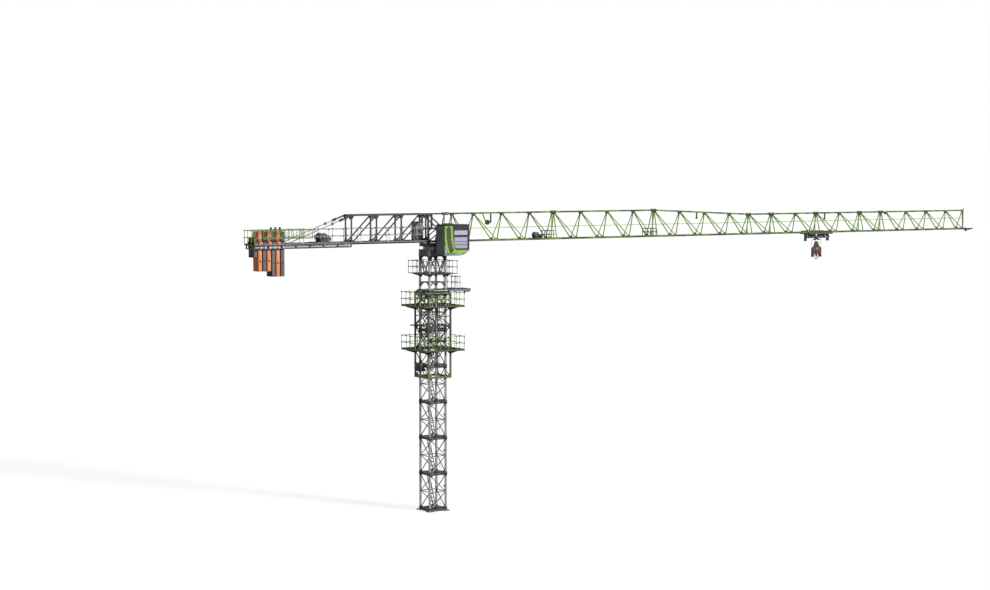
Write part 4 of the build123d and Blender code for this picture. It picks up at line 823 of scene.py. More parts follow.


# Jib: eight bolted lattice sections, triangular, of lime enamelled tube. The coat is darker green from
# stretch to stretch along the chords. Node plates and the pinned knuckles between sections are dark.
def in_stretches(tree, place):
    """Share of dark green: in stretches along the chords, full on the tracks, little on the braces."""
    patchy = noise(tree, stretched(tree, place, (1.9, 0.5, 0.02)), 1.0, 3)
    aside = calculated(tree, "ABSOLUTE", coordinate(tree, place, "Y"))
    on_top = calculated(tree, "LESS_THAN", aside, 0.035)
    below = calculated(tree, "LESS_THAN", coordinate(tree, place, "Z"), 10.545)
    share = ramped(tree, calculated(tree, "MAXIMUM", on_top, below), least=0.28)
    worn = calculated(tree, "MULTIPLY", ramped(tree, patchy, 0.36, 0.56, 0.25), share)
    return calculated(tree, "MAXIMUM", worn, calculated(tree, "GREATER_THAN", aside, 0.2435))


lime = enamel("lime_jib_enamel", "90C42A", "7CAE20", "506E1C", mask=in_stretches, masked="263212")
finish_node(lime, *[f"jib_section_{i}" for i in range(1, 9)])
jib_lime = enamel("lime_sign_enamel", "90C42A", "7CAE20", "506E1C")
finish_node(jib_lime, "sign_frames")
section_starts = [root_x, 5.6, 10.6, 15.6, 16.85, 19.35, 21.85, 23.1]
jib_end = 28.5
top_end = 28.1
taper_start, taper_end = 10.6, 15.6
root_rise, tip_rise = 1.07, 0.83


def top_at(x):
    """Level of the top chord's middle at a place along the jib."""
    share = min(1, max(0, (x - taper_start) / (taper_end - taper_start)))
    return jib_level + root_rise + share * (tip_rise - root_rise)


def section_nodes(index):
    """Places where the braces of one section meet its top chord, and its bottom chords."""
    start = section_starts[index]
    end = (section_starts + [jib_end])[index + 1]
    if index == 0:
        highs = [start + 0.27] + [start - 0.06 + 1.311 * k for k in (1, 2, 3)]
    elif index == len(section_starts) - 1:
        highs = [start + 0.295 + 1.213 * k for k in range(4)]
        end = top_end
    else:
        highs = [start + 0.035 + 1.311 * k for k in range(round((end - start) / 1.311))]
    return highs, [x - 0.35 for x in highs[1:]] + [end - 0.215]


def add_trapezoid(shape, x, y, level, half, far_level, far_half, thick):
    """Adds an upright plate across Y, as wide at each of two levels as twice the half given there."""
    add_plate(shape, [(x - half, y, level), (x + half, y, level), (x + far_half, y, far_level),
                      (x - far_half, y, far_level)], thick)


dark_green = enamel("dark_green_enamel", "2C3A14", "222C12", "1C1F12")
plates = bmesh.new()
for index in range(len(section_starts)):
    highs, lows = section_nodes(index)
    for side in (-1, 1):
        for x in highs:
            level = top_at(x) - 0.02
            add_trapezoid(plates, x, side * 0.036, level, 0.09, level - 0.09, 0.05, 0.006)
        for x in lows:
            add_trapezoid(plates, x, side * (chord_y - 0.033), jib_level, 0.1, jib_level + 0.09, 0.06, 0.006)
new_piece("jib_node_plates", plates, dark_green, "slewing_upper")
knuckles = bmesh.new()
pins = bmesh.new()
for x in section_starts[1:]:
    level = top_at(x)
    add_block(knuckles, (x, 0, level), (0.27, 0.1, 0.12), 0.025)
    for gap in (-0.05, 0.05):
        add_pin(pins, x + gap, 0, level, 0.062, 0.014)
    for side in (-1, 1):
        add_block(knuckles, (x, side * (chord_y - 0.004), jib_level + 0.004), (0.22, 0.062, 0.068), 0.008)
        for gap in (-0.06, 0.06):
            add_pin(pins, x + gap, side * chord_y - 0.0025, jib_level + 0.01, 0.0425, 0.012)
new_piece("jib_knuckles", knuckles, machine_black, "slewing_upper")
new_piece("jib_pins", pins, bright_zinc, "slewing_upper")


# Lifeline and hoist rope: the lifeline is 8 mm steel cable in a pale green sleeve, drawn thicker so
# that it shows, at hand height over the jib's floor. The hoist rope runs the jib's whole length.
def wire_rope(name, colour, groove):
    """Greased wire rope: strands laid slantwise leave fine grooves, drawn a few times too wide."""
    material, tree, place = new_material(name)
    wave = add_node(tree, "ShaderNodeTexWave", [("Vector", place)], Scale=28.0, bands_direction="DIAGONAL")
    lay = wave.outputs["Fac"]
    add_coat(tree, blended(tree, lay, groove, colour), 0.45, (lay, 0.5, 0.002), Metallic=0.4)
    return material


pale_green = wire_rope("pale_green_sleeve", "A8CC78", "8CB45C")
greased_rope = wire_rope("greased_wire_rope", "57585A", "2A2A2C")
line_level, rope_level = 11.0, 10.4845
lifeline = bmesh.new()
add_rod(lifeline, (0.66, 0, line_level), (28.09, 0, line_level), 0.016)
for x in section_starts[1:]:
    add_rod(lifeline, (x - 0.03, 0, line_level), (x + 0.03, 0, line_level), 0.02)
new_piece("lifeline", lifeline, pale_green, "slewing_upper")
hoist_rope = bmesh.new()
add_rod(hoist_rope, (0.62, 0, rope_level), (28.24, 0, rope_level), 0.006)
new_piece("hoist_rope", hoist_rope, greased_rope, "slewing_upper")


# Trolley winch in the jib's first section: grooved drum with rope on it, flanges and a ribbed motor,
# bolted to a plate over the bottom chords. Black enamel.
def add_drum(metal, rope, center, radius, flange, length, turns):
    """Adds a rope drum between two flanges, with a layer of rope turns in its grooves."""
    half = length / 2
    cheek = half + 0.014
    for side in (-1, 1):
        profile = [(0.01, half), (flange, half), (flange, half + 0.008), (flange * 0.9, cheek), (0.01, cheek)]
        add_turned(metal, [(out, side * along) for out, along in profile], center, "Y", 32)
        for k in range(8):
            turn = math.tau * k / 8
            spot = Vector((math.cos(turn), 0, math.sin(turn))) * flange * 0.7 + Vector((0, side * cheek, 0))
            add_bolt(metal, Vector(center) + spot, (0, side, 0), 0.005, 0.012)
    profile = [(radius * 0.7, -half)]
    pitch = length / turns
    for k in range(turns):
        start = -half + k * pitch
        profile += [(radius * 0.94, start), (radius, start + pitch * 0.3), (radius, start + pitch * 0.7)]
    profile += [(radius * 0.94, half), (radius * 0.7, half)]
    add_turned(rope, profile, center, "Y", 32)


winch_x = 4.77
frame_parts = bmesh.new()
rope_turns = bmesh.new()
add_drum(frame_parts, rope_turns, (winch_x, 0, 10.6665), 0.1, 0.128, 0.16, 12)
add_block(frame_parts, (4.84, 0, 10.5475), (0.52, 0.455, 0.014), 0.003)
for side in (-1, 1):
    add_block(frame_parts, (winch_x, side * 0.096, 10.6), (0.11, 0.012, 0.13), 0.003)
add_motor(frame_parts, (4.98, 0, 10.625), 0.07, 0.2, "X")
add_block(frame_parts, (4.95, 0, 10.565), (0.12, 0.1, 0.03), 0.004)
add_block(frame_parts, (4.96, 0.07, 10.63), (0.05, 0.03, 0.045), 0.004)
new_piece("trolley_winch_frame", frame_parts, machine_black, "slewing_upper", ["trolley_winch"])
new_piece("trolley_winch_rope", rope_turns, greased_rope, "slewing_upper")


# Rope guides: straps from the top chord with a nylon pulley between flanges, and the drop bars that
# keep the ropes apart. Black enamel, one strap in the jib's green.
finish_node(machine_black, "rope_guides")
guides = bmesh.new()
straps = bmesh.new()
add_turned(guides, [(0.016, -0.034), (0.1, -0.034), (0.1, -0.026), (0.07, -0.008), (0.07, 0.008),
                    (0.1, 0.026), (0.1, 0.034), (0.016, 0.034)], (2.5, 0, 11.2105), "Y", 32)
add_beam(guides, (2.657, 0, 11.56), (2.657, 0, 11.2), 0.046)
add_beam(straps, (2.283, 0, 11.56), (2.42, 0, 11.24), 0.042)
guide_drop = 0.22
for x, top in ((12.84, 11.44), (19.855, 11.31)):
    add_beam(guides, (x, 0, top), (x, 0, top - guide_drop), 0.044)
    add_pin(guides, x, 0, top - guide_drop, 0.03, 0.04, 16)
new_piece("rope_guide_parts", guides, machine_black, "slewing_upper")
new_piece("rope_guide_strap", straps, jib_lime, "slewing_upper")


# Service platforms in the jib: grating floors on the bottom chords, galvanised and gone dark, with low
# tube railings in charcoal enamel and black knuckles, a painted shade at the crossings
jib_floor = 10.5415
tubes = bmesh.new()
knuckles = bmesh.new()
floors = bmesh.new()
for near, far in ((5.135, 5.592), (10.11, 10.67)):
    add_grating(floors, (near, -0.175), (far, 0.175), jib_floor, 0.014)
    for y in (-0.092, 0.092):
        add_railing(tubes, knuckles, (near + 0.009, y), (far - 0.009, y), jib_floor, 0.307, 0.25, 0.013)
new_piece("jib_platform_floors", floors, dull_zinc, "slewing_upper", ["jib_platforms"])
new_piece("jib_platform_tubes", tubes, charcoal, "slewing_upper")
# Black knuckles: painted shade where rails and posts cross
new_piece("jib_platform_knuckles_painted_shade", knuckles, machine_black, "slewing_upper")


# Counter-jib truss and deck frame: charcoal square tube, node plates at the posts, pale web panels in
# the deck's side beams and pale straps at each counterweight. Their near-white is partly pale paint and
# partly painted light, to stay bright in the walkway's shadow.
finish_node(charcoal, "counter_jib_truss", "counter_jib_deck")
truss_nodes = [-0.45 - 1.083 * k for k in range(4)]
plates = bmesh.new()
for x in truss_nodes:
    for y in (0.036 - head_half, head_half - 0.036):
        add_trapezoid(plates, x, y, jib_level + 0.03, 0.13, jib_level + 0.15, 0.07, 0.008)
        add_trapezoid(plates, x, y, jib_top_level - 0.03, 0.13, jib_top_level - 0.15, 0.07, 0.008)
new_piece("truss_node_plates", plates, charcoal, "slewing_upper")
deck_front, deck_tail = -3.732, -7.84
post_count = 7
slab_count, slab_pitch, slab_tail = 6, 0.184, -7.6
slab_places = [slab_tail + (k + 0.5) * slab_pitch for k in range(slab_count)]
posts = [deck_front - 0.02 + (deck_tail - deck_front + 0.04) * k / post_count for k in range(post_count + 1)]
webs = bmesh.new()
for side in (-1, 1):
    for near, far in zip(posts, posts[1:]):
        add_block(webs, ((near + far) / 2, side * 0.303, 10.4555), (near - far - 0.13, 0.012, 0.07), 0.003)
    for x in slab_places:
        add_block(webs, (x, side * 0.326, 10.458), (0.09, 0.008, 0.11), 0.003)
# Near-white: pale paint brightened as painted light against the walkway's shadow
web_panel = enamel("web_panel_enamel_painted_light", "DADADC", "C6C6C8", "8E8C88")
new_piece("deck_web_panels", webs, web_panel, "slewing_upper")
low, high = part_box("counter_jib_walkways")
grating_pitch = 0.06
floors = bmesh.new()
for side in (-1, 1):
    near, far = sorted((side * 0.32, side * 0.45))
    add_grating(floors, (low.x, near), (high.x, far), high.z, high.z - low.z, grating_pitch)
    for x in truss_nodes:
        add_block(floors, (x - 0.02, side * 0.295, high.z - 0.01), (0.04, 0.05, 0.02), 0.003)
for near, far in ((-6.3, -5.2), (-4.4, -3.75)):
    add_grating(floors, (near, -0.28), (far, 0.28), high.z, 0.02, grating_pitch)
new_piece("counter_jib_gratings", floors, dull_zinc, "slewing_upper", ["counter_jib_walkways"])


# Ties: forged links and round rods with fork couplings, from the truss's top down to the deck.
# The links and couplings are black, the rods pale grey.
finish_node(machine_black, "tie_bars")
tie_y = 0.2848
rods = bmesh.new()
eyes = bmesh.new()
for y in (-tie_y, tie_y):
    start, foot = Vector((-3.702, y, jib_top_level)), Vector((-6.4, y, 10.5705))
    for near, far in ((0.21, 0.292), (0.328, 0.97)):
        add_rod(rods, start.lerp(foot, near), start.lerp(foot, far), 0.021, 12)
    for share in (0.14, 0.2, 0.298, 0.322):
        add_pin(eyes, *start.lerp(foot, share), 0.026, 0.016)
new_piece("tie_rods", rods, pale_tube, "slewing_upper")
new_piece("tie_pins", eyes, bright_zinc, "slewing_upper")


# Counter-jib railings: pale grey tube with black knuckles, a painted shade at the crossings, and toe
# boards on both walkways, and a lime railing across the tail
low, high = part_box("counter_jib_railing")
rail_y, rail_rise = high.y - 0.009, high.z - low.z - 0.009
rail_front, rail_tail = high.x - 0.009, low.x + 0.009
tubes = bmesh.new()
knuckles = bmesh.new()
for y in (-rail_y, rail_y):
    add_railing(tubes, knuckles, (rail_front, y), (rail_tail, y), low.z, rail_rise, 0.62)
tail_tubes = bmesh.new()
add_railing(tail_tubes, knuckles, (rail_tail, -rail_y), (rail_tail, rail_y), low.z, rail_rise, 0.3, 0.013)
new_piece("tail_railing_tubes", tail_tubes, lime_bright, "slewing_upper")
boards = bmesh.new()
board_count = 12
for side in (-1, 1):
    for k in range(board_count):
        near = low.x + 0.02 + (high.x - low.x - 0.02) * k / board_count
        add_block(boards, (near + 0.29, side * (rail_y + 0.006), low.z + 0.018), (0.56, 0.004, 0.036))
toe_board = enamel("toe_board_enamel", "8E8E90", "6E6E70", "4A4846")
new_piece("walkway_toe_boards", boards, toe_board, "slewing_upper")
new_piece("counter_railing_tubes", tubes, pale_tube, "slewing_upper", ["counter_jib_railing"])
# Black knuckles: painted shade where rails and posts cross
new_piece("counter_railing_knuckles_painted_shade", knuckles, machine_black, "slewing_upper")


# Sign frames: bare tube frames along both railings, two rails with posts and slanting braces between
# them, in sap green enamel
sign_low, sign_high = 10.77, 11.07
sign_pitch = 0.402
rails = bmesh.new()
for y in (-0.466, 0.466):
    for level in (sign_low - 0.002, sign_high + 0.004):
        add_rod(rails, (-7.5, y, level), (-5.45, y, level), 0.014)
    for k in range(6):
        x = -7.48 + k * sign_pitch
        add_rod(rails, (x, y, sign_low), (x, y, sign_high), 0.01)
        if k:
            add_rod(rails, (x - sign_pitch, y, sign_low), (x, y, sign_high), 0.007)
sap_green = enamel("sap_green_enamel", "64842C", "546F26", "38431F")
new_piece("sign_frame_tubes", rails, sap_green, "slewing_upper")


# Electrical cabinet: folded sheet steel, charcoal, with two doors on each side, bar handles, louvres,
# pale door seams and a rain hood
case_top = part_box("electrical_cabinet")[1].z
case_x, case_half, case_y, case_middle = -0.69, 0.18, 0.15, 10.93
louvre = (0.11, 0.008, 0.008)
finish_node(charcoal, "electrical_cabinet")
doors = bmesh.new()
trim = bmesh.new()
seams = bmesh.new()
add_block(doors, (case_x, 0, case_top + 0.006), (0.4, 0.34, 0.014), 0.004)
for side in (-1, 1):
    for place in (-0.088, 0.088):
        add_block(doors, (case_x + place, side * (case_y + 0.003), case_middle), (0.165, 0.008, 0.62), 0.002)
        add_block(trim, (case_x + place * 0.25, side * (case_y + 0.014), 10.95), (0.012, 0.014, 0.12), 0.003)
        for k in range(6):
            add_block(trim, (case_x + place, side * (case_y + 0.009), 10.7 + k * 0.022), louvre, 0.002)
    add_block(doors, (case_x + side * (case_half + 0.003), 0, case_middle), (0.008, 0.26, 0.6), 0.002)
    for x in (-0.79, -0.53):
        add_block(seams, (x, side * (case_y + 0.008), case_middle), (0.035, 0.008, 0.6), 0.002)
cabinet_grey = enamel("cabinet_grey_enamel", "6A6B6D", "58595B", "3A3A3A")
new_piece("cabinet_doors", doors, cabinet_grey, "slewing_upper")
new_piece("cabinet_handles", trim, machine_black, "slewing_upper")
new_piece("cabinet_door_seams", seams, pale_tube, "slewing_upper")


# Counterweights: concrete cast in steel trays and painted on its open faces, salmon and stone grey by
# turns. The trays' brown and black are painted shade, for the shade on the slabs' ends and in the gaps
# between them. Each hangs by its ears from the deck beams and has a lifting lug and grouted holes.
def cast_slab(name, paint, shaded, worn):
    """Painted concrete: pin holes from air in the mould and soft cloudy stains under matt paint."""
    material, tree, place = new_material(name)
    body = blended(tree, ramped(tree, noise(tree, place, 3.2, 6), 0.38, 0.66), paint, shaded)
    pores = add_node(tree, "ShaderNodeTexVoronoi", [("Vector", place)], Scale=60.0).outputs["Distance"]
    pit = ramped(tree, pores, 0.06, 0.16, 1, 0)
    rain = noise(tree, stretched(tree, place, (26, 26, 1.6)), 1.0, 5)
    stained = blended(tree, ramped(tree, rain, 0.5, 0.8, most=0.4), body, worn)
    add_coat(tree, blended(tree, pit, stained, worn), 0.72, (pit, -0.3, 0.003))
    return material


slab_thick, slab_half, slab_top = 0.164, 0.215, 11.0205
ear_half, ear_low, ear_high = 0.32, 10.5405, 10.6505
face_wide = slab_thick - 2 * 0.018
shade_trays = {"brown": bmesh.new(), "black": bmesh.new()}
faces = {"brown": bmesh.new(), "black": bmesh.new()}
lugs = bmesh.new()
marks = bmesh.new()
slabs = []
for k, x in enumerate(slab_places):
    bottom, lug, mark = (9.5555, 0.06, 9.94) if k < 3 else (9.3505, 0.165, 9.86)
    slabs.append((x, slab_top, bottom, "black" if k % 2 else "brown", lug, mark))
slabs.append((-7.692, 10.7905, 10.0705, "black", 0.06, 10.3))
for x, top, bottom, colour, lug, mark in slabs:
    shade_tray, face = shade_trays[colour], faces[colour]
    add_block(shade_tray, (x, 0, (top + bottom) / 2), (slab_thick, 2 * slab_half, top - bottom), 0.008)
    add_block(shade_tray, (x, 0, (ear_low + ear_high) / 2), (slab_thick, 2 * ear_half, ear_high - ear_low), 0.006)
    spans = (slab_half, bottom, ear_low), (ear_half, ear_low, ear_high), (slab_half, ear_high, top)
    for side in (-1, 1):
        for y, low, high in spans:
            size = (face_wide, 0.008, high - low - 0.02)
            add_block(face, (x, side * (y + 0.001), (low + high) / 2), size, 0.003)
        add_turned(marks, [(0.012, -0.004), (0.042, -0.004), (0.042, 0.004), (0.034, 0.008), (0.012, 0.008)],
                   (x, side * (slab_half + 0.004), mark), "Y", 20)
        for level in (bottom + 0.05, ear_low - 0.12):
            near, far = (x, side * (slab_half - 0.004), level), (x, side * (slab_half + 0.007), level)
            add_rod(marks, near, far, 0.012, 12)
    add_trapezoid(lugs, x, 0, top - 0.004, 0.055, top + lug, 0.028, 0.03)
    add_pin(lugs, x, 0, top + lug * 0.62, 0.022, 0.016)
# Painted shade: the brown and black trays stand in for the shade on the slabs' ends and between them
brown_painted_shade = enamel("brown_tray_painted_shade", "D0601A", "B45212", "7A3A10")
black_painted_shade = enamel("black_tray_painted_shade", "0C0C0D", "09090A", "141312", gloss=0.6)
salmon = cast_slab("salmon_painted_concrete", "F2A272", "E89060", "B0643C")
stone_grey = cast_slab("grey_painted_concrete", "707274", "636567", "46474A")
red_oxide = enamel("red_oxide_primer", "6E3A2C", "5C3024", "3A221C")
new_piece("brown_slab_trays_painted_shade", shade_trays["brown"], brown_painted_shade, "slewing_upper",
          ["counterweights_orange"])
new_piece("black_slab_trays_painted_shade", shade_trays["black"], black_painted_shade, "slewing_upper",
          ["counterweights_grey"])
new_piece("salmon_slab_faces", faces["brown"], salmon, "slewing_upper")
new_piece("grey_slab_faces", faces["black"], stone_grey, "slewing_upper")
new_piece("slab_lifting_lugs", lugs, machine_black, "slewing_upper")
new_piece("slab_grout_marks", marks, red_oxide, "slewing_upper")


# Hoist winch: grooved drum full of rope between turned cheeks, gearbox on the far side and a ribbed
# motor beside it, on a frame of box beams. Dark grey enamel and greased rope; the paler rims are a painted
# highlight on the cheeks' and motor's edges.
winch_center = Vector((-4.85, 0, 10.7655))
motor_center = Vector((-4.6, 0, 10.6955))
bed_level = 10.5705
metal = bmesh.new()
rope_turns = bmesh.new()
add_drum(metal, rope_turns, winch_center, 0.128, 0.165, 0.37, 22)
for x in (-5.17, -4.53):
    add_block(metal, (x, 0, bed_level), (0.06, 0.64, 0.06), 0.004)
for y in (-0.2, 0.2):
    add_block(metal, (-4.85, y, bed_level), (0.7, 0.06, 0.06), 0.004)
    add_trapezoid(metal, -4.85, y * 1.05, bed_level + 0.03, 0.14, 10.79, 0.06, 0.024)
add_motor(metal, motor_center, 0.095, 0.3, "Y")
add_block(metal, (-4.6, 0, 10.59), (0.1, 0.22, 0.05), 0.005)
add_block(metal, (-4.52, 0, 10.73), (0.05, 0.08, 0.07), 0.005)
add_block(metal, (-4.72, 0.235, 10.72), (0.26, 0.045, 0.2), 0.012)
winch_grey = enamel("winch_grey_enamel", "4A4A4B", "3A3A3B", "2A2826", gloss=0.38)
new_piece("hoist_winch_frame", metal, winch_grey, "slewing_upper", ["hoist_winch"])
new_piece("hoist_drum_rope", rope_turns, greased_rope, "slewing_upper")
# Paler rims on the drum's cheeks, the hub and the motor's end: a painted highlight
highlight_rims = bmesh.new()
rim_rows = [(winch_center, 0.19, 0.15, 0.172, 0.172, 0.02, 40),
            (winch_center, 0.2, 0.02, 0.06, 0.05, 0.03, 24),
            (motor_center, 0.15, 0.06, 0.088, 0.088, 0.012, 24)]
for side in (-1, 1):
    for center, reach, inner, outer, end, deep, steps in rim_rows:
        add_turned(highlight_rims, [(inner, 0.0), (outer, 0.0), (end, side * deep), (inner, side * deep)],
                   center + Vector((0, side * reach, 0)), "Y", steps)
rim_highlight_grey = enamel("rim_painted_highlight_enamel", "8C8C8E", "787879", "4A4846")
new_piece("hoist_cheek_rims_painted_highlight", highlight_rims, rim_highlight_grey, "slewing_upper")


# Cab: welded steel shell, dark grey inside and behind, with pressed side panels in lime enamel, a
# louvred black panel, black rubber round the glass, a rain roof with rounded edges and tinted panes.
low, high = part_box("cab_body")
cab_length, cab_rise = high.x - low.x, high.z - low.z
cab_low, cab_face, cab_back_face = low.copy(), low.y, high.y
cab_middle = (cab_face + cab_back_face) / 2


def on_cab(u, v, y):
    """Point on the cab's side: u from its back to its front, v from its foot to its roof."""
    return Vector((cab_low.x + u * cab_length, y, cab_low.z + v * cab_rise))


def add_panel(shape, outline, y, thick):
    """Adds a flat panel on the cab's side, its outline as shares of the cab's length and height."""
    add_plate(shape, [on_cab(u, v, y) for u, v in outline], thick)


def add_frame(shape, points, radius):
    """Adds round bars from point to point and back to the first."""
    for start, end in zip(points, points[1:] + points[:1]):
        add_rod(shape, start, end, radius)


cab_panel = enamel("cab_dark_enamel", "19191B", "151517", "101012", gloss=0.55)
finish_node(cab_panel, "cab_body")
skin, inset = 0.006, 0.004
# Rows down the cab's side: height, then where the rear stripe, the louvres and the second stripe end
side_rows = [(0.97, 0.02, 0.17, 0.19, 0.33), (0.88, 0.02, 0.075, 0.25, 0.34),
             (0.55, 0.02, 0.085, 0.27, 0.355), (0.3, 0.055, 0.135, 0.32, 0.38),
             (0.17, 0.1, 0.18, 0.38, 0.45), (0.06, 0.15, 0.24, 0.26, 0.45)]
panels = bmesh.new()
louvres = bmesh.new()
corners = bmesh.new()
slats = bmesh.new()
for y, outward in ((cab_face, -1), (cab_back_face, 1)):
    for upper, lower in zip(side_rows, side_rows[1:]):
        for shape, near, far, thick in ((panels, 1, 2, skin), (louvres, 2, 3, inset), (panels, 3, 4, skin)):
            outline = [(upper[near], upper[0]), (upper[far], upper[0]),
                       (lower[far], lower[0]), (lower[near], lower[0])]
            add_panel(shape, outline, y, thick)
    add_panel(panels, [(0.45, 0.04), (0.73, 0.04), (0.97, 0.15), (0.97, 0.17), (0.45, 0.17)], y, skin)
    add_panel(corners, [(0.02, 0.06), (0.13, 0.06), (0.02, 0.36)], y, skin)
    add_block(corners, on_cab(0.37, 0.012, y), (0.74 * cab_length, 0.008, 0.04), 0.002)
    for upper, lower in zip(side_rows[1:], side_rows[2:-1]):
        count = max(2, round((upper[0] - lower[0]) / 0.042))
        for k in range(count):
            share = (k + 0.5) / count
            v, left, right = (upper[item] + share * (lower[item] - upper[item]) for item in (0, 2, 3))
            for start, end in ((0.12, 0.46), (0.54, 0.88)):
                middle = left + (right - left) * (start + end) / 2
                size = ((right - left) * (end - start) * cab_length, 0.008, 0.016)
                add_block(slats, on_cab(middle, v, y + outward * 0.003), size, 0.003)
lime_cab = enamel("lime_cab_enamel", "98CC48", "86BA38", "5A7A2C", gloss=0.28)
dark_lime = enamel("dark_lime_enamel", "6E9632", "4C6C22", "2A3A18")
pale_skirt = enamel("pale_skirt_enamel", "B8B8C6", "A4A4B2", "7A7A80")
new_piece("cab_lime_panels", panels, lime_cab, "slewing_upper")
new_piece("cab_louvre_panel", louvres, machine_black, "slewing_upper")
new_piece("cab_louvre_slats", slats, dark_lime, "slewing_upper")
new_piece("cab_pale_corners", corners, pale_skirt, "slewing_upper")
pane_glass, tree, place = new_material("tinted_float_glass")
tint = blended(tree, ramped(tree, coordinate(tree, place, "Z"), 10.2, 11.0), "B4B4D0", "CDCDE4")
smear = ramped(tree, noise(tree, place, 5.0), least=0.04, most=0.14)
add_coat(tree, tint, smear, IOR=1.52, Transmission_Weight=0.12, Coat_Weight=0.4)
finish_node(pane_glass, "cab_windows")
gaskets = bmesh.new()
low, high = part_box("cab_windows")
pane_low, pane_top = low.z, high.z
pane_rear, pane_front = 0.245, 0.865
rail_low, rail_high = cab_low.z + 0.7, cab_low.z + 0.765
edge = 0.012
lower_pane = [(0.335, pane_low), (pane_front, pane_low), (pane_front, rail_low), (pane_rear, rail_low),
              (pane_rear, pane_low + 0.09)]
upper_pane = [(pane_rear, rail_high), (pane_front, rail_high), (pane_front, pane_top), (pane_rear, pane_top)]
for outline in (lower_pane, upper_pane):
    add_frame(gaskets, [(x, cab_face, level) for x, level in outline], edge)
for level in (0.355, 0.45):
    add_rod(gaskets, on_cab(0.385, level, cab_face - 0.004), on_cab(0.94, level, cab_face - 0.004), 0.007)
front = cab_low.x + cab_length
left, right = cab_face + 0.07, cab_back_face - 0.07
screen = [(front, left, pane_low), (front, right, pane_low), (front, right, pane_top),
          (front, left, pane_top)]
add_frame(gaskets, screen, edge)
add_rod(gaskets, (front, left, rail_low + 0.03), (front, right, rail_low + 0.03), edge)
wiper = Vector((front + 0.014, cab_middle, pane_low + 0.02))
add_rod(gaskets, wiper, wiper + Vector((0, -0.12, 0.3)), 0.005)
add_rod(gaskets, wiper + Vector((0, -0.16, 0.12)), wiper + Vector((0, -0.08, 0.42)), 0.006)
new_piece("cab_gaskets", gaskets, machine_black, "slewing_upper")
roof = bmesh.new()
for u, v, size, bevel in ((0.5, 1.012, (cab_length + 0.05, cab_back_face - cab_face, 0.03), 0.011),
                          (0.3, 1.035, (0.34, 0.3, 0.06), 0.014), (1.012, 0.965, (0.03, 0.56, 0.05), 0.01),
                          (0.36, -0.008, (0.74, 0.5, 0.024), 0.006)):
    add_block(roof, on_cab(u, v, cab_middle), size, bevel)
new_piece("cab_roof", roof, cab_panel, "slewing_upper")
rear = bmesh.new()
add_block(rear, on_cab(-0.004, 0.5, cab_middle), (0.014, 0.6, cab_rise * 0.97), 0.004)
for k in range(7):
    add_block(rear, on_cab(-0.01, 0.62 + k * 0.035, cab_middle), (0.012, 0.34, 0.018), 0.003)
cab_rear = enamel("cab_rear_enamel", "6C6C70", "626266", "404042", gloss=0.5)
new_piece("cab_rear_sheet", rear, cab_rear, "slewing_upper")
trim = bmesh.new()
door_rail = [on_cab(u, v, cab_back_face + 0.02)
             for u, v in ((0.4, 0.1), (0.4, 0.9), (0.62, 0.9), (0.62, 0.1))]
add_frame(trim, door_rail, 0.009)
add_block(trim, on_cab(0.6, 0.48, cab_back_face + 0.012), (0.02, 0.02, 0.12), 0.004)
new_piece("cab_door_rails", trim, pale_tube, "slewing_upper")


# Trolley: two side plates outside the tracks, joined by cross beams under the jib, and below them a
# narrow welded frame that carries the sheaves, with a bumper post at each end. Dark olive enamel, the
# lower frame with a violet cast; turned steel wheels and nylon sheaves on pinned axles.
trolley_x = 19.4
wheel_x, wheel_level = 0.65, 10.5348
sheave_x, sheave_level, sheave_radius = 0.15, 10.3605, 0.11


def at(x, y, z):
    """Point given from the trolley's middle."""
    return (trolley_x + x, y, z)


trolley_olive = enamel("trolley_olive_enamel", "4E5C2C", "3C4822", "262A18")
side_outline = [(-0.6, 10.435), (0.6, 10.435), (0.69, 10.48), (0.69, 10.54), (0.62, 10.575), (-0.62, 10.575),
                (-0.69, 10.54), (-0.69, 10.48)]
plates = bmesh.new()
guards = bmesh.new()
violet = bmesh.new()
patches = bmesh.new()
for side in (-1, 1):
    add_plate(plates, [at(x, side * 0.2865, z) for x, z in side_outline], 0.014)
    for x in (-0.65, -0.36, 0, 0.36, 0.65):
        add_block(plates, at(x, side * 0.297, 10.505), (0.02, 0.012, 0.14), 0.003)
    add_block(plates, at(0, side * 0.298, 10.44), (1.2, 0.014, 0.014), 0.003)
    for way in (-1, 1):
        add_trapezoid(plates, trolley_x + way * 0.2925, side * 0.03, 10.43, 0.0925, 10.33, 0.0925, 0.012)
        add_trapezoid(plates, trolley_x + way * sheave_x, side * 0.03, 10.43, 0.06, 10.25, 0.03, 0.01)
    add_block(guards, at(0, side * 0.296, 10.556), (1.24, 0.008, 0.03), 0.002)
    for reach in (-0.13, 0.15):
        add_beam(guards, at(0, side * 0.05, 10.25), at(reach, side * 0.05, 10.165), 0.034)
    add_block(violet, at(0, side * 0.05, 10.295), (1.25, 0.016, 0.085), 0.004)
    for x in (-0.625, 0.625):
        add_beam(violet, at(x, side * 0.05, 10.31), at(x * 0.82, side * 0.05, 10.44), 0.03)
    for near, far in ((0.02, 0.12), (0.2, 0.26), (0.44, 0.59)):
        add_block(patches, at((near + far) / 2, side * 0.0595, 10.306), (far - near, 0.006, 0.036), 0.002)
for x in (-0.65, -0.36, 0.36, 0.65):
    add_block(plates, at(x, 0, 10.4505), (0.05, 0.573, 0.05), 0.005)
for x in (-0.625, 0.625):
    add_block(violet, at(x, 0, 10.29), (0.052, 0.13, 0.32), 0.006)
    add_block(violet, at(x, 0, 10.1435), (0.07, 0.16, 0.026), 0.006)
for x in (-0.42, 0.42):
    add_block(violet, at(x, 0, 10.38), (0.036, 0.11, 0.12), 0.005)
violet_grey = enamel("violet_grey_enamel", "3E3A52", "302C40", "222028")
pale_violet = enamel("pale_violet_enamel", "A4A4C4", "9090AE", "6A6A78")
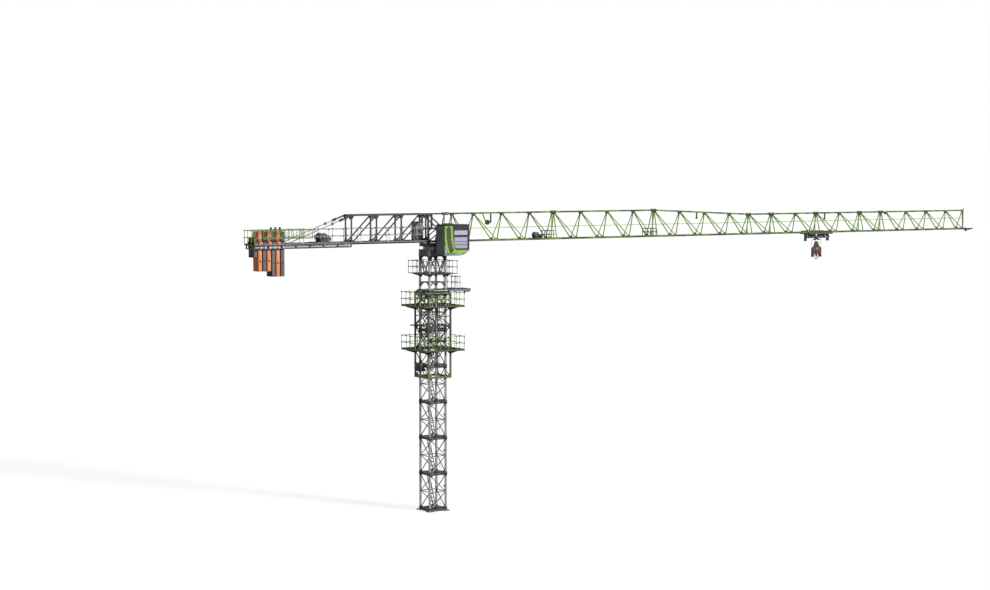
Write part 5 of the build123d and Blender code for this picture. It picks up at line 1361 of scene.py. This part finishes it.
new_piece("trolley_side_plates", plates, trolley_olive, "trolley", ["trolley_frame"])
new_piece("trolley_guards", guards, machine_black, "trolley")
new_piece("trolley_low_frame", violet, violet_grey, "trolley")
new_piece("trolley_pale_patches", patches, pale_violet, "trolley")
pulley = bmesh.new()
add_turned(pulley, [(0.01, -0.02), (0.044, -0.02), (0.036, 0.0), (0.044, 0.02), (0.01, 0.02)],
           at(0.7, 0, 10.31))
add_block(pulley, at(0.67, 0, 10.31), (0.06, 0.06, 0.03), 0.004)
new_piece("trolley_end_pulley", pulley, machine_black, "trolley")
wheels = bmesh.new()
pins = bmesh.new()
rim = [(0.01, -0.01), (0.036, -0.01), (0.042, -0.007), (0.042, 0.007), (0.036, 0.01), (0.01, 0.01)]
for side in (-1, 1):
    for x in (-wheel_x, wheel_x):
        add_turned(wheels, rim, at(x, side * 0.2575, wheel_level), "Y", 28)
        add_rod(wheels, at(x, side * 0.2475, wheel_level), at(x, side * 0.3, wheel_level), 0.014, 12)
        add_bolt(pins, at(x, side * 0.2935, wheel_level), (0, side, 0), 0.012, 0.012)
    add_pin(pins, *at(side * sheave_x, 0, sheave_level), 0.05, 0.018, 16)
wheel_steel = bare_metal("rolled_wheel_steel", "8A8A8C", 0.3, (40, 600, 40))
new_piece("trolley_wheel_rims", wheels, wheel_steel, "trolley", ["trolley_wheels"])


def add_sheave(shape, center, radius):
    """Adds a rope sheave: rim with a round groove, dished web and hub."""
    half = [(0.018, 0.024), (0.032, 0.024), (0.036, 0.01), (radius * 0.76, 0.008), (radius * 0.84, 0.018),
            (radius, 0.02), (radius - 0.004, 0.014)]
    profile = [(out, -along) for out, along in half] + [(radius - 0.016, 0)] + half[::-1]
    add_turned(shape, profile, center, "Y", 32)


nylon, tree, place = new_material("black_cast_nylon")
cloud = noise(tree, place, 9.0)
add_coat(tree, blended(tree, cloud, "2A2A2B", "202022"), 0.38, (cloud, 0.15, 0.001), IOR=1.53)
sheaves = bmesh.new()
for x in (-sheave_x, sheave_x):
    add_sheave(sheaves, at(x, 0, sheave_level), sheave_radius)
new_piece("trolley_nylon_sheaves", sheaves, nylon, "trolley", ["trolley_sheaves"])
new_piece("trolley_pins", pins, bright_zinc, "trolley")


# Rope falls: two runs of hoist rope between the trolley's sheaves and the block's, each one straight
# tube.
block_level = 9.7355
fall_x = 0.2555
falls = bmesh.new()
for x in (-fall_x, fall_x):
    add_rod(falls, at(x, 0, block_level), at(x, 0, sheave_level), 0.008, 10)
falls = new_object("rope_fall_runs", falls, greased_rope)
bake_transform(falls)
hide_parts("rope_falls")


# Hook block: two flame-cut cheeks with rounded shoulders and feet in dark olive enamel, red-brown
# cast weights bolted to them, nylon sheaves on pins, keeper plates and a crosshead for the hook
def arc(center, radius, start, end, steps=6):
    """Points of an arc in the XZ plane, its angles in degrees from +X towards +Z."""
    turns = [math.radians(start + (end - start) * k / steps) for k in range(steps + 1)]
    return [(center[0] + radius * math.cos(turn), center[1] + radius * math.sin(turn)) for turn in turns]


half_cheek = arc((0.0, 10.0405), 0.08, 90, 10) + [(0.108, 9.98), (0.137, 9.9)]
half_cheek += arc((0.202, 9.79), 0.06, 90, 0) + arc((0.207, 9.4805), 0.055, 0, -180, 10)
half_cheek += arc((0.112, 9.5755), 0.04, 0, 90, 4)[:-1] + [(0.1, 9.54)]
outline = half_cheek + [(-x, z) for x, z in reversed(half_cheek[1:])]


def below_sheaves(tree, place):
    """One in the lower half of the hook block, whose cheeks are worn down to a red-brown primer."""
    level = calculated(tree, "MULTIPLY_ADD", noise(tree, place, 9.0), 0.16, coordinate(tree, place, "Z"))
    return ramped(tree, level, 9.93, 9.86)


block_olive = enamel("block_olive_enamel", "3A3D32", "30332A", "22231E", mask=below_sheaves, masked="4E2A20")
oxide = enamel("oxide_red_enamel", "8A4A3A", "6C382C", "3A201A", gloss=0.25)
foot_x, foot_level, head_level = 0.207, 9.4805, 10.0505
dome = [(0.001, 0.0), (0.118, 0.0), (0.118, 0.018), (0.1, 0.03), (0.05, 0.038), (0.001, 0.04)]
cover = [(0.001, 0.05), (0.04, 0.05), (0.04, 0.058), (0.001, 0.058)]
cheeks = bmesh.new()
weights = bmesh.new()
feet = bmesh.new()
for side in (-1, 1):
    add_plate(cheeks, [at(x, side * 0.03, z) for x, z in outline], 0.012)
    add_block(cheeks, at(0, side * 0.04, 9.97), (0.09, 0.012, 0.16), 0.005)
    profile = [(radius, side * along) for radius, along in dome]
    add_turned(weights, profile, at(0, side * 0.036, block_level), "Y", 32)
    for x in (-foot_x, foot_x):
        add_block(cheeks, at(x, side * 0.04, 9.7), (0.03, 0.012, 0.2), 0.004)
        add_block(weights, at(x * 0.97, side * 0.0395, 9.555), (0.05, 0.01, 0.1), 0.004)
        add_turned(feet, [(radius, side * along) for radius, along in cover], at(x, 0, foot_level))
for x in (-foot_x, foot_x):
    add_pin(cheeks, *at(x, 0, foot_level), 0.05, 0.052, 28)
    add_block(feet, at(x * 1.06, 0, 9.69), (0.05, 0.076, 0.17), 0.01)
add_block(cheeks, at(0, 0, 9.5785), (0.2, 0.1, 0.08), 0.012)
new_piece("block_cheeks", cheeks, block_olive, "hook_block", ["hook_block"])
new_piece("block_weights", weights, oxide, "hook_block")
new_piece("block_feet_covers", feet, machine_black, "hook_block")
pins = bmesh.new()
for side in (-1, 1):
    for x, z in ((-sheave_x, block_level), (sheave_x, block_level), (0, head_level)):
        add_bolt(pins, at(x, side * 0.036, z), (0, side, 0), 0.016, 0.03)
    for x, z in ((0.1, 9.93), (0.24, 9.7), (0.24, 9.58)):
        add_pin(pins, *at(side * x, 0, z), 0.042, 0.009)
new_piece("block_pins", pins, bright_zinc, "hook_block")
sheaves = bmesh.new()
for x in (-sheave_x, sheave_x):
    add_sheave(sheaves, at(x, 0, block_level), sheave_radius)
add_turned(sheaves, [(0.018, -0.024), (0.03, -0.024), (0.04, -0.02), (0.049, -0.02), (0.033, 0),
                     (0.049, 0.02), (0.04, 0.02), (0.03, 0.024), (0.018, 0.024)], at(0, 0, head_level))
new_piece("block_nylon_sheaves", sheaves, nylon, "hook_block", ["block_sheaves"])
inner_runs = bmesh.new()
for x in (-0.0445, 0.0445):
    add_rod(inner_runs, at(x, 0, block_level), at(x, 0, head_level), 0.008)
new_piece("block_inner_rope", inner_runs, greased_rope, "hook_block")


# Hook: one steel forging, pale paint worn off in the bowl, with a turned shank and nut that swivel in
# the crosshead and a sprung safety latch across its mouth
hook_pale = enamel("forged_hook_enamel", "B4B2AA", "A09E96", "5C5850", gloss=0.5)
bowl_center = Vector(at(0, 0, 9.4155))
bowl_radius, bowl_half = 0.07, 0.025
swivel_level = 9.5355
sweep = math.radians(268)
bend_steps = 22
forging = bmesh.new()
on_bowl = Matrix.Translation(bowl_center + Vector((0, 0, bowl_radius)))
ring_verts = bmesh.ops.create_circle(forging, cap_ends=False, segments=14, radius=bowl_half,
                                     matrix=on_bowl @ Matrix.Rotation(math.pi / 2, 4, "Y"))["verts"]
edges = list({edge for vert in ring_verts for edge in vert.link_edges})
spun = bmesh.ops.spin(forging, geom=ring_verts + edges, cent=bowl_center, axis=(0, 1, 0), angle=sweep,
                      steps=bend_steps)["geom_last"]
tip_verts = [item for item in spun if isinstance(item, bmesh.types.BMVert)]
tip_middle = sum((vert.co for vert in tip_verts), Vector()) / len(tip_verts)
bmesh.ops.scale(forging, verts=tip_verts, vec=(0.6, 0.6, 0.6), space=Matrix.Translation(-tip_middle))
bmesh.ops.holes_fill(forging, edges=[edge for edge in forging.edges if edge.is_boundary], sides=0)
shank = [(0.001, -0.07), (0.024, -0.07), (0.03, -0.03), (0.034, 0.0), (0.036, 0.0), (0.036, 0.06),
         (0.001, 0.06)]
add_turned(forging, shank, at(0, 0, swivel_level), "Z")
new_piece("forged_hook", forging, hook_pale, "hook", ["hook"])
nut = bmesh.new()
add_turned(nut, [(0.02, -0.058), (0.044, -0.058), (0.05, -0.05), (0.05, -0.012), (0.044, -0.004),
                 (0.02, -0.004)], at(0, 0, swivel_level), "Z")
new_piece("hook_nut", nut, machine_black, "hook")
latch = bmesh.new()
add_plate(latch, [at(-0.02, 0, 9.487), at(-0.03, 0, 9.478), at(-0.072, 0, 9.424), at(-0.064, 0, 9.42)], 0.022)
add_pin(latch, *at(-0.024, 0, 9.483), 0.03, 0.007)
new_piece("hook_latch", latch, bright_zinc, "hook")
